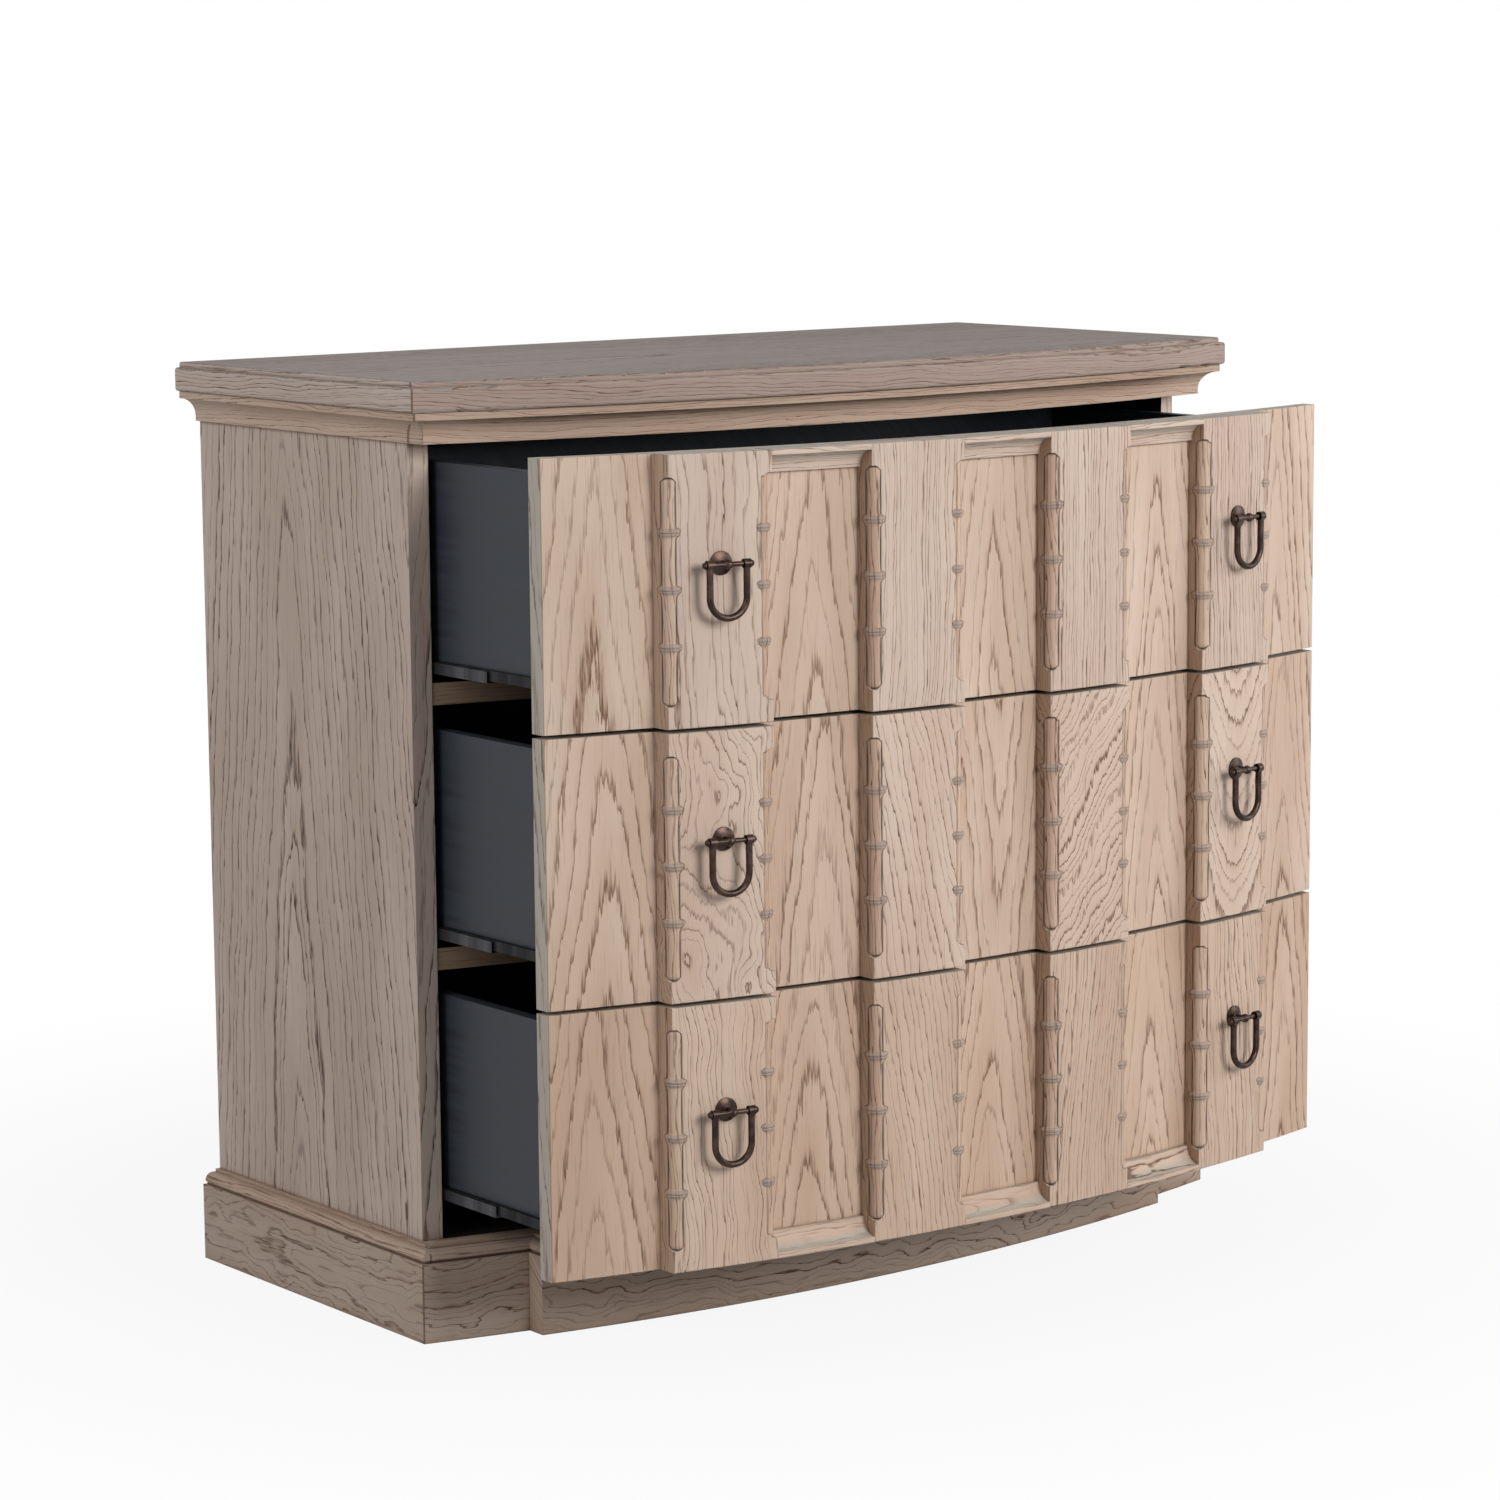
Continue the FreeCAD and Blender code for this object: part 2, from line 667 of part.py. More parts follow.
def pull_post(name, bay, low):
    """Rosette, post and ball turned in one, cross-drilled for the bar and tapped for its screw."""
    neck = "Sizes.post_radius"
    ball = "Sizes.ball_radius"
    ball_foot = f"(Sizes.bar_reach - sqrt({ball} ^ 2 - {neck} ^ 2))"
    points = [
        ("0", "0"),
        ("Sizes.rosette_radius", "0"),
        ("Sizes.rosette_radius", "Sizes.rosette_rim"),
        (neck, "Sizes.rosette_rise", "Sizes.rosette_crown_radius", 1),
        (neck, ball_foot),
        (ball, "Sizes.bar_reach", ball, 1),
        ("0", f"(Sizes.bar_reach + {ball})", ball, 1),
    ]
    body = doc.addObject("PartDesign::Body", name)
    turned(body, outline(body, f"{name}_outline", "XY_Plane", points), "V_Axis")
    bore = "(Sizes.screw_radius + Sizes.screw_fit)"
    tap = [("0", "0"), (bore, "0"), (bore, "Sizes.screw_grip"), ("0", "Sizes.screw_grip")]
    doc.recompute()
    turned(body, outline(body, f"{name}_tap", "XY_Plane", tap), "V_Axis", "Groove")
    doc.recompute()
    hole = body.newObject("PartDesign::Pocket", f"{name}_cross_hole")
    hole.Profile = circle_sketch(
        body, f"{name}_cross_circle", "YZ_Plane", "Sizes.bar_reach", "0", "Sizes.bar_radius"
    )
    hole.Midplane = True
    hole.setExpression("Length", "4 * Sizes.ball_radius")
    pull_place(body, bay, low, BLOCK_FACE)
    return body


def pull_bar(name, bay, low):
    """The hinge bar, with a cap at each end that holds the bail on."""
    half = "Sizes.bar_half_length"
    shoulder = f"({half} - Sizes.bar_cap_length)"
    cap = "Sizes.bar_cap_radius"
    thin = "Sizes.bar_radius"
    points = [
        (half, "0"),
        (f"({half} - {cap})", cap, cap, 1),
        (shoulder, cap),
        (shoulder, thin),
        (f"(0 - {shoulder})", thin),
        (f"(0 - {shoulder})", cap),
        (f"({cap} - {half})", cap),
        (f"(0 - {half})", "0", cap, 1),
    ]
    body = doc.addObject("PartDesign::Body", name)
    turned(body, outline(body, f"{name}_outline", "XY_Plane", points), "H_Axis")
    pull_place(body, bay, low, f"{BLOCK_FACE} + Sizes.bar_reach")
    return body


def pull_bail(name, bay, low):
    """A U of round wire with an eye at each end, which swings on the bar."""
    arm = "Sizes.bail_half_width"
    bend = "(Sizes.bail_half_width + Sizes.bail_wire_radius - Sizes.bail_drop)"
    body = doc.addObject("PartDesign::Body", name)
    path = [
        (arm, "0"),
        (arm, bend),
        ("0", f"({bend} - {arm})", arm, -1),
        (f"(0 - {arm})", bend, arm, -1),
        (f"(0 - {arm})", "0"),
    ]
    spine = outline(body, f"{name}_path", "XZ_Plane", path, closed=False)
    wire = circle_sketch(body, f"{name}_wire", "XY_Plane", arm, "0", "Sizes.bail_wire_radius")
    loop = body.newObject("PartDesign::AdditivePipe", f"{name}_loop")
    loop.Profile = wire
    loop.Spine = spine
    doc.recompute()
    for side, sign in (("near", "1"), ("far", "-1")):
        first = f"({sign} * {arm} - Sizes.eye_half_length)"
        last = f"({sign} * {arm} + Sizes.eye_half_length)"
        corners = [(first, "0"), (last, "0"), (last, "Sizes.eye_radius"), (first, "Sizes.eye_radius")]
        turned(body, outline(body, f"{name}_{side}_eye", "XY_Plane", corners), "H_Axis")
        doc.recompute()
    bore = "(Sizes.bar_radius + Sizes.eye_play)"
    end = f"({arm} + Sizes.eye_half_length + Sizes.overrun)"
    corners = [(f"(0 - {end})", "0"), (end, "0"), (end, bore), (f"(0 - {end})", bore)]
    turned(body, outline(body, f"{name}_bore", "XY_Plane", corners), "H_Axis", "Groove")
    pull_place(body, bay, low, f"{BLOCK_FACE} + Sizes.bar_reach")
    return body


def pull_screw(name, bay, low, grow):
    """The screw that holds a pull from inside the drawer; grow makes the hole for it."""
    head = f"(Sizes.screw_head_radius + {grow})"
    shank = f"(Sizes.screw_radius + {grow})"
    seat = "Sizes.screw_head_height"
    tip = f"({seat} + Sizes.front_thickness + Sizes.block_projection + Sizes.screw_grip - Sizes.screw_fit)"
    points = [("0", "0"), (head, "0"), (head, seat), (shank, seat), (shank, tip), ("0", tip)]
    body = doc.addObject("PartDesign::Body", name)
    turned(body, outline(body, f"{name}_outline", "XY_Plane", points), "V_Axis")
    pull_place(body, bay, low, f"Sizes.front_standoff - {seat}")
    return body


def front_pieces(drawer, low):
    """The bowed front with its blocks, rails and rods."""
    half = f"({HALF_CASE} - Sizes.front_reveal)"
    board = bow_ring(
        f"{drawer}_front",
        f"-{half}",
        f"2 * {half}",
        "Sizes.front_standoff",
        FRONT_FACE,
        low,
        FRONT_HEIGHT,
        OPEN,
    )
    middle_y = value(face_y(half, FRONT_FACE)) + value("Sizes.front_thickness / 2")

    def outer_end(edge):
        return edge.BoundBox.ZLength > value(f"{FRONT_HEIGHT} / 2") and edge.BoundBox.YMax < middle_y

    board = rounded(f"{drawer}_front_eased", board, "Sizes.front_round", outer_end)
    holes = {}
    for side, bay in PULL_BAYS.items():
        holes[bay] = pull_screw(f"{drawer}_hole_{side}", bay, low, "Sizes.screw_fit")
    keep(f"{drawer}_front", cut(f"{drawer}_front_drilled", board, *holes.values()))

    raised = []
    rods = []
    for bay in BLOCK_BAYS:
        name = f"{drawer}_block{bay}"
        block = bow_ring(name, bay_edge(bay), BAY, FRONT_FACE, BLOCK_FACE, low, FRONT_HEIGHT, OPEN)
        block = rounded(f"{name}_eased", block, "Sizes.block_round", face_edge(BLOCK_FACE))
        rooms = []
        for edge, corner, inward in (("left", bay_edge(bay), 1), ("right", bay_edge(bay + 1), -1)):
            rod, room = rod_and_room(f"{name}_{edge}", corner, inward, low)
            rods.append(rod)
            rooms.extend(room)
        if bay in holes:
            rooms.append(holes[bay])
        raised.append(cut(f"{name}_carved", block, *rooms))

    rail_height = "(Sizes.rail_face_height + Sizes.rail_cove_radius)"
    under_top = f"({low} + {FRONT_HEIGHT} - {rail_height})"
    rails = {"upper_drawer": (under_top, under_top), "lower_drawer": (low, f"({low} + {rail_height})")}
    if drawer in rails:
        rail_low, cove_z = rails[drawer]
        cove = doc.addObject("Part::Torus", f"{drawer}_rail_cove")
        cove.setExpression("Radius1", f"Sizes.bow_radius + {BLOCK_FACE}")
        cove.setExpression("Radius2", "Sizes.rail_cove_radius")
        place(cove, "0", f"{BOW_CENTRE} - {OPEN}", cove_z)
        for bay in PANEL_BAYS:
            name = f"{drawer}_rail{bay}"
            blank = bow_ring(name, bay_edge(bay), BAY, FRONT_FACE, BLOCK_FACE, rail_low, rail_height, OPEN)
            raised.append(cut(f"{name}_coved", blank, cove))
    keep(f"{drawer}_blocks", group(f"{drawer}_block_group", raised))
    keep(f"{drawer}_bamboo_rods", group(f"{drawer}_rod_group", rods))


def box_pieces(drawer, low):
    """Two sides with grooves, a back and a bottom that slides into the grooves."""
    outer = f"({HALF_INNER} - Sizes.drawer_side_gap)"
    inner = f"({outer} - Sizes.drawer_side_thickness)"
    rear = f"({BACK_FACE} - Sizes.drawer_back_gap - {OPEN})"
    z = f"({low} + Sizes.drawer_side_lift)"
    height = f"({FRONT_HEIGHT} - Sizes.drawer_side_lift - Sizes.drawer_side_drop)"
    thick = "Sizes.drawer_side_thickness"
    floor = f"({z} + Sizes.drawer_bottom_lift)"
    side = bowed(f"{drawer}_side", f"-{outer}", thick, rear, "Sizes.front_standoff", z, height, OPEN)
    play = "Sizes.drawer_groove_play"
    reach = "Sizes.drawer_groove_depth"
    groove = box(
        f"{drawer}_groove",
        (f"-{inner} - {reach}", f"-2 * Sizes.case_depth - {OPEN}", f"{floor} - {play}"),
        (f"{reach} + Sizes.overrun", "4 * Sizes.case_depth", f"Sizes.drawer_bottom_thickness + 2 * {play}"),
    )
    side = keep(f"{drawer}_side_left", cut(f"{drawer}_side_board", side, groove))
    keep(f"{drawer}_side_right", mirror(f"{drawer}_side_twin", side))
    half_floor = f"({inner} + {reach} - {play})"
    panel = bowed(
        f"{drawer}_floor",
        f"-{half_floor}",
        f"2 * {half_floor}",
        rear,
        "Sizes.front_standoff",
        floor,
        "Sizes.drawer_bottom_thickness",
        OPEN,
    )
    keep(f"{drawer}_bottom", panel)
    top_of_floor = f"({floor} + Sizes.drawer_bottom_thickness)"
    back = box(
        f"{drawer}_back_board",
        (f"-{inner}", f"{rear} - {thick}", top_of_floor),
        (f"2 * {inner}", thick, f"{z} + {height} - {top_of_floor}"),
    )
    keep(f"{drawer}_back", back)


def channel(name, x, y, z, width, length, height):
    """A steel channel that is open at the top."""
    wall = "Sizes.slide_wall"
    blank = box(f"{name}_blank", (x, y, z), (width, length, height))
    room = box(
        f"{name}_room",
        (f"{x} + {wall}", f"{y} - Sizes.overrun", f"{z} + {wall}"),
        (f"{width} - 2 * {wall}", f"{length} + 2 * Sizes.overrun", height),
    )
    return cut(f"{name}_channel", blank, room)


def slide_pieces(drawer, low):
    """Case rails, middle rails at half the travel, and the runners under the drawer sides."""
    inset = "(Sizes.slide_wall + Sizes.slide_play)"
    x = f"(0 - {HALF_INNER})"
    y = f"(Sizes.slide_setback - {BACK})"
    seat = f"({low} + Sizes.drawer_side_lift)"
    z = f"({seat} - Sizes.slide_drop)"
    height = "(Sizes.slide_drop - Sizes.slide_head_gap)"
    length = "Sizes.slide_length"
    width = "Sizes.slide_width"
    case_rail = channel(f"{drawer}_case_rail", x, y, z, width, length, height)
    middle_rail = channel(
        f"{drawer}_middle_rail",
        f"({x} + {inset})",
        f"({y} - {OPEN} / 2)",
        f"({z} + {inset})",
        f"({width} - 2 * {inset})",
        length,
        f"({height} - {inset})",
    )
    runner = box(
        f"{drawer}_runner",
        (f"{x} + 2 * {inset}", f"{y} - {OPEN}", f"{z} + 2 * {inset}"),
        (f"{width} - 4 * {inset}", length, f"{seat} - {z} - 2 * {inset}"),
    )
    pairs = ((f"{drawer}_slide_members", middle_rail), (f"{drawer}_runners", runner))
    for label, item in pairs:
        twin = mirror(f"{item.Name}_twin", item)
        keep(label, group(f"{label}_pair", [item, twin]))
    return [case_rail, mirror(f"{drawer}_case_rail_twin", case_rail)]


def pull_pieces(drawer, low):
    """Posts with their bars, hanging bails, and screws."""
    posts = []
    screws = []
    for side, bay in PULL_BAYS.items():
        posts.append(pull_post(f"{drawer}_post_{side}", bay, low))
        posts.append(pull_bar(f"{drawer}_bar_{side}", bay, low))
        screws.append(pull_screw(f"{drawer}_screw_{side}", bay, low, "0"))
        keep(f"{drawer}_bail_{side}", pull_bail(f"{drawer}_bail_{side}_body", bay, low))
    keep(f"{drawer}_pull_posts", group(f"{drawer}_post_group", posts))
    keep(f"{drawer}_pull_screws", group(f"{drawer}_screw_group", screws))


case_rails = []
for level, drawer in enumerate(DRAWER_NAMES):
    low = front_bottom(level)
    front_pieces(drawer, low)
    box_pieces(drawer, low)
    case_rails.extend(slide_pieces(drawer, low))
    pull_pieces(drawer, low)
keep("case_slide_rails", group("case_rail_group", case_rails))

# Check every object, then write each sub-part

doc.recompute()
for item in doc.Objects:
    if "Invalid" in item.State or "Error" in item.State:
        raise RuntimeError(f"{item.Label} failed: {item.State}")
for item in pieces:
    if item.Shape.isNull() or not item.Shape.isValid() or not item.Shape.Solids:
        raise RuntimeError(f"{item.Label} has no sound shape")
os.makedirs("parts", exist_ok=True)
for item in pieces:
    item.Shape.exportStep(f"parts/{item.Label}.step")
print(len(pieces), "sub-parts written")
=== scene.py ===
import bpy
import math
from mathutils import Matrix, Vector


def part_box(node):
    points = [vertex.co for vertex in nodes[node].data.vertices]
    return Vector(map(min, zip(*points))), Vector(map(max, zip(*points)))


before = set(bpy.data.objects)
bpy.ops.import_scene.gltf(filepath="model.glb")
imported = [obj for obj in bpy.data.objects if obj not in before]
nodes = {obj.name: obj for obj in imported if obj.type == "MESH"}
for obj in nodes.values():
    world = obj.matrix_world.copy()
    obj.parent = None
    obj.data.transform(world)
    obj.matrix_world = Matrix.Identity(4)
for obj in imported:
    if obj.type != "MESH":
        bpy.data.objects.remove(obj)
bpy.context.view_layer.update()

# Plinth: solid oak boards, mitred round the foot of the case, with a bowed block that breaks forward.
# The oak is limed: its pale ground is rubbed with a brown glaze that stays in the open grain and the joints,
# and its corners and recesses are darkened further with painted shade.
# The grain of the boards runs level, in wild flat-sawn figure.

bow_radius = 1.855  # the sweep of the front edge of the case, seen from above
bow_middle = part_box("bottom_board")[0].y + bow_radius


def srgb(red, green, blue):
    """A colour picked on a screen, as the linear colour that a shader takes."""
    shares = [channel / 255 for channel in (red, green, blue)]
    return (*[share / 12.92 if share < 0.04045 else ((share + 0.055) / 1.055) ** 2.4 for share in shares], 1)


def add(tree, kind, inputs=(), **settings):
    """Place a shader node; inputs give sockets, by name or number, a value or another node's output."""
    item = tree.nodes.new("ShaderNode" + kind)
    for name, setting in settings.items():
        setattr(item, name, setting)
    for socket, given in dict(inputs).items():
        if isinstance(given, bpy.types.NodeSocket):
            tree.links.new(given, item.inputs[socket])
        else:
            item.inputs[socket].default_value = given
    return item


def calc(tree, operation, *terms):
    """One step of arithmetic between sockets and numbers."""
    return add(tree, "Math", enumerate(terms), operation=operation).outputs[0]


def spread(tree, value, low, high, to_low=0.0, to_high=1.0):
    """Stretch a value from one span to another, with soft ends."""
    spans = {"Value": value, "From Min": low, "From Max": high, "To Min": to_low, "To Max": to_high}
    return add(tree, "MapRange", spans, interpolation_type="SMOOTHSTEP").outputs[0]


def blend(tree, share, first, second):
    """Mix two colours."""
    return add(tree, "MixRGB", {"Fac": share, "Color1": first, "Color2": second}).outputs[0]


def choose(tree, share, first, second):
    """Mix two numbers."""
    return add(tree, "Mix", {"Factor": share, 2: first, 3: second}, data_type="FLOAT").outputs[0]


def grain_noise(tree, across, along, leaf, across_rate, along_rate, detail=2.0):
    """Noise drawn out along the grain, with so many changes a metre across it and along it."""
    leaf_step = 7.31
    lengths = {
        0: calc(tree, "MULTIPLY", across, across_rate),
        1: calc(tree, "MULTIPLY", along, along_rate),
        2: calc(tree, "MULTIPLY", leaf, leaf_step),
    }
    place = add(tree, "CombineXYZ", lengths).outputs[0]
    noise = {"Vector": place, "Scale": 1.0, "Detail": detail, "Roughness": 0.55}
    return add(tree, "TexNoise", noise).outputs["Fac"]


def effect(name, inputs, outputs):
    """Start a shared effect; returns its tree and the sockets inside it."""
    tree = bpy.data.node_groups.new(name, "ShaderNodeTree")
    for label in inputs:
        tree.interface.new_socket(label, in_out="INPUT", socket_type="NodeSocketFloat")
    for label, kind in outputs.items():
        tree.interface.new_socket(label, in_out="OUTPUT", socket_type="NodeSocket" + kind)
    return tree, tree.nodes.new("NodeGroupInput").outputs, tree.nodes.new("NodeGroupOutput").inputs


def oak_figure():
    """Growth rings as the saw opens them: nested arches over the heart, straight lines beside it."""
    leaf_inputs = ("Across", "Along", "Leaf", "Offset", "Taper", "Depth", "Spacing", "Swirl")
    tree, given, out = effect("oak_figure", leaf_inputs, {"Glaze": "Float", "Band": "Float", "Tone": "Float"})
    leaf = given["Leaf"]
    lay = (given["Across"], given["Along"], leaf)

    # The heart's line sways slowly up the board and shivers finely.
    sway_reach, shiver_reach = 0.007, 0.0014
    sway = spread(tree, grain_noise(tree, *lay, 8, 3.4), 0.2, 0.8, -sway_reach, sway_reach)
    shiver = spread(tree, grain_noise(tree, *lay, 70, 18), 0.2, 0.8, -shiver_reach, shiver_reach)
    curl = calc(tree, "SUBTRACT", grain_noise(tree, *lay, 15, 12), 0.5)
    other_leaf = calc(tree, "ADD", leaf, 0.37)
    twist = calc(tree, "SUBTRACT", grain_noise(tree, lay[0], lay[1], other_leaf, 17, 9), 0.5)
    off_heart = calc(tree, "ADD", calc(tree, "ADD", lay[0], given["Offset"]), calc(tree, "ADD", sway, shiver))
    off_heart = calc(tree, "MULTIPLY_ADD", curl, given["Swirl"], off_heart)

    # A tapering log opens into arches: the distance from the heart grows up the board.
    climb = calc(tree, "MULTIPLY", lay[1], given["Taper"])
    climb = calc(tree, "MULTIPLY_ADD", twist, given["Swirl"], climb)
    squares = calc(tree, "ADD", calc(tree, "POWER", off_heart, 2), calc(tree, "POWER", given["Depth"], 2))
    reach = calc(tree, "ADD", calc(tree, "SQRT", squares), climb)
    even_ring = calc(tree, "DIVIDE", reach, given["Spacing"])

    # Good and poor years make the rings uneven, and the cut fibres feather their edges.
    years = calc(tree, "MULTIPLY_ADD", even_ring, 0.5, calc(tree, "MULTIPLY", leaf, 3.7))
    season = {"W": years, "Scale": 1.0, "Detail": 1.0}
    weather = add(tree, "TexNoise", season, noise_dimensions="1D").outputs["Fac"]
    ring = calc(tree, "MULTIPLY_ADD", calc(tree, "SUBTRACT", weather, 0.5), 1.6, even_ring)
    feather_reach = 0.13
    feather = spread(tree, grain_noise(tree, *lay, 420, 26), 0.25, 0.75, -feather_reach, feather_reach)
    ring = calc(tree, "ADD", ring, feather)
    phase = calc(tree, "FRACT", ring)
    year = add(tree, "CombineXYZ", {0: calc(tree, "FLOOR", ring), 1: leaf}).outputs[0]
    strength = add(tree, "TexWhiteNoise", {"Vector": year}, noise_dimensions="2D").outputs["Value"]

    # The open pores of the early wood take the glaze, in lines of dashes, with a few flecks between.
    early = calc(tree, "MULTIPLY", spread(tree, phase, 0.0, 0.04), spread(tree, phase, 0.05, 0.27, 1.0, 0.0))
    pores = grain_noise(tree, *lay, 620, 34, 3.0)
    line = calc(tree, "MULTIPLY", early, spread(tree, strength, 0, 1, 0.42, 1.0))
    line = calc(tree, "MULTIPLY", line, spread(tree, pores, 0.34, 0.56, 0.46, 1.0))
    flecks = spread(tree, grain_noise(tree, *lay, 620, 24), 0.56, 0.76, 0.0, 0.3)
    tree.links.new(calc(tree, "MINIMUM", calc(tree, "ADD", line, flecks), 1.0), out["Glaze"])
    tree.links.new(calc(tree, "MULTIPLY", spread(tree, phase, 0.0, 0.85, 1.0, 0.0), strength), out["Band"])
    tree.links.new(grain_noise(tree, *lay, 16, 2.6), out["Tone"])
    return tree


def eased_edge():
    """Edges sanded round by hand, with a mask of the edges, which are rubbed and on the oak also take a
    painted highlight.
    """
    tree, given, out = effect("eased_edge", ("Radius",), {"Normal": "Vector", "Rubbed": "Float"})
    soft = add(tree, "Bevel", {"Radius": given["Radius"]}, samples=4).outputs[0]
    plain = add(tree, "NewGeometry").outputs["Normal"]
    match = add(tree, "VectorMath", {0: soft, 1: plain}, operation="DOT_PRODUCT").outputs["Value"]
    tree.links.new(soft, out["Normal"])
    tree.links.new(spread(tree, match, 0.995, 0.75), out["Rubbed"])
    return tree


def glaze_and_painted_shade():
    """Painted shade from ambient occlusion, with the glaze of the joints: darker in inner corners, quirks and
    the lines between pieces.
    """
    tree, given, out = effect("glaze_and_painted_shade", ("Reach", "Open", "Shut"), {"Shaded": "Float"})
    sky = add(tree, "AmbientOcclusion", {"Distance": given["Reach"]}, samples=6).outputs["AO"]
    tree.links.new(spread(tree, sky, given["Open"], given["Shut"]), out["Shaded"])
    return tree


OAK_FIGURE, EASED_EDGE, GLAZE_AND_PAINTED_SHADE = oak_figure(), eased_edge(), glaze_and_painted_shade()


def board_place(tree):
    """Where a point lies on the chest, and which way its face looks."""
    place = add(tree, "SeparateXYZ", {0: add(tree, "TexCoord").outputs["Object"]}).outputs
    facing = add(tree, "SeparateXYZ", {0: add(tree, "NewGeometry").outputs["True Normal"]}).outputs
    looks = [calc(tree, "GREATER_THAN", calc(tree, "ABSOLUTE", axis), 0.7) for axis in facing]
    return place, looks


def bow_depth(tree, x, y):
    """How far a point lies from the middle of the bow, the same all along a bowed edge."""
    arm = add(tree, "CombineXYZ", {0: x, 1: calc(tree, "SUBTRACT", y, bow_middle)}).outputs[0]
    return add(tree, "VectorMath", {0: arm}, operation="LENGTH").outputs["Value"]


def leaf_of(across, along, leaf, offset=0.0, taper=0.12, depth=0.01, spacing=0.0085, swirl=0.0):
    """The figure of one board or leaf of veneer."""
    lengths = {"Offset": offset, "Taper": taper, "Depth": depth, "Spacing": spacing, "Swirl": swirl}
    return {"Across": across, "Along": along, "Leaf": leaf, **lengths}


def level_grain(run, leaf, lean=1, **figure):
    """Grain that runs level, along x or y; lean follows a moulding that steps out or in as it rises."""

    def lay(tree):
        (x, y, z), _ = board_place(tree)
        out = calc(tree, "ABSOLUTE", x) if run == "y" else bow_depth(tree, x, y)
        across = calc(tree, "MULTIPLY_ADD", out, lean, z)
        return leaf_of(across, y if run == "y" else x, leaf, **figure)

    return lay


pale_oak = srgb(207, 186, 170)
warm_oak = srgb(194, 169, 150)
early_wood = srgb(178, 145, 122)
dark_glaze = srgb(98, 72, 58)
recess_shade_brown = srgb(158, 122, 92)
seam_glaze_and_shade = srgb(84, 62, 48)
bare_oak_highlight = srgb(220, 203, 188)


def corner_glaze_and_shade(tree, reach, open_sky, shut_sky):
    """A mask of painted shade in corners and recesses, with the glaze of the joints, as far as its reach."""
    sky = {"Reach": reach, "Open": open_sky, "Shut": shut_sky}
    return add(tree, "Group", sky, node_tree=GLAZE_AND_PAINTED_SHADE).outputs["Shaded"]


def limed_oak(
    name,
    lay,
    ground=pale_oak,
    warm=warm_oak,
    glaze=dark_glaze,
    rubbed_highlight=0.25,
    glaze_and_shade=0.7,
    gloss=0.2,
    tints=(),
    over=(),
):
    """Limed oak with the figure of a lay; tints and over are masks and colours below and above the glaze."""
    material = bpy.data.materials.new(name)
    material.use_nodes = True
    tree = material.node_tree
    surface = tree.nodes["Principled BSDF"]
    surface.inputs["Specular IOR Level"].default_value = gloss
    figure = add(tree, "Group", lay(tree), node_tree=OAK_FIGURE).outputs
    edge = add(tree, "Group", {"Radius": 0.0012}, node_tree=EASED_EDGE).outputs
    # Painted shade from ambient occlusion: seams and quirks darken toward the joint glaze, recesses up to 24
    # mm deep toward a warm brown.
    seam_shade_mask = corner_glaze_and_shade(tree, reach=0.0045, open_sky=0.76, shut_sky=0.32)
    recess_shade_mask = corner_glaze_and_shade(tree, reach=0.024, open_sky=0.8, shut_sky=0.35)
    colour = blend(tree, spread(tree, figure["Tone"], 0.3, 0.7), ground, warm)
    colour = blend(tree, calc(tree, "MULTIPLY", figure["Band"], 0.36), colour, early_wood)
    for mask, tint in tints:
        colour = blend(tree, mask(tree), colour, tint)
    colour = blend(tree, figure["Glaze"], colour, glaze)
    colour = blend(tree, calc(tree, "MULTIPLY", recess_shade_mask, glaze_and_shade * 0.6), colour, recess_shade_brown)
    colour = blend(tree, calc(tree, "MULTIPLY", seam_shade_mask, glaze_and_shade), colour, seam_glaze_and_shade)
    # Painted highlight, with some real rubbing: the eased edges are lightened toward bare oak.
    colour = blend(tree, calc(tree, "MULTIPLY", edge["Rubbed"], rubbed_highlight), colour, bare_oak_highlight)
    for mask, cover in over:
        colour = blend(tree, mask(tree), colour, cover)
    height = calc(tree, "SUBTRACT", 1.0, figure["Glaze"])
    bump = {"Height": height, "Strength": 0.25, "Distance": 0.0005, "Normal": edge["Normal"]}
    tree.links.new(colour, surface.inputs["Base Color"])
    tree.links.new(spread(tree, figure["Glaze"], 0, 1, 0.56, 0.8), surface.inputs["Roughness"])
    tree.links.new(add(tree, "Bump", bump).outputs[0], surface.inputs["Normal"])
    return material


def finish_nodes(material, *names):
    """Give CAD pieces their finish."""
    for name in names:
        mesh = nodes[name].data
        mesh.materials.clear()
        mesh.materials.append(material)


def mitre_line(piece):
    """A mask of the thin dark line where lengths of a moulding meet at a corner of the case."""
    half_line, soft_line = 0.0005, 0.0012
    outer_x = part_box(piece)[1].x
    reach = bow_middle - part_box(piece)[0].y
    outer_y = bow_middle - math.sqrt(reach ** 2 - outer_x ** 2)
    inner_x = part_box("side_left")[0].x
    inner_y = bow_middle - math.sqrt(bow_radius ** 2 - inner_x ** 2)
    across = Vector((outer_y - inner_y, -outer_x - inner_x, 0)).normalized()

    def mask(tree):
        (x, y, _), (_, _, looks_z) = board_place(tree)
        out = calc(tree, "ABSOLUTE", x)
        off = calc(tree, "MULTIPLY", calc(tree, "SUBTRACT", out, outer_x), across.x)
        off = calc(tree, "MULTIPLY_ADD", calc(tree, "SUBTRACT", y, outer_y), across.y, off)
        line = spread(tree, calc(tree, "ABSOLUTE", off), half_line, soft_line, 0.75, 0.0)
        line = calc(tree, "MULTIPLY", line, calc(tree, "GREATER_THAN", out, -inner_x - half_line * 2))
        return calc(tree, "MULTIPLY", line, calc(tree, "SUBTRACT", 1.0, looks_z))

    return mask


line_brown = srgb(104, 80, 66)
wild = {"taper": 0.06, "depth": 0.012, "spacing": 0.0085, "swirl": 0.05}
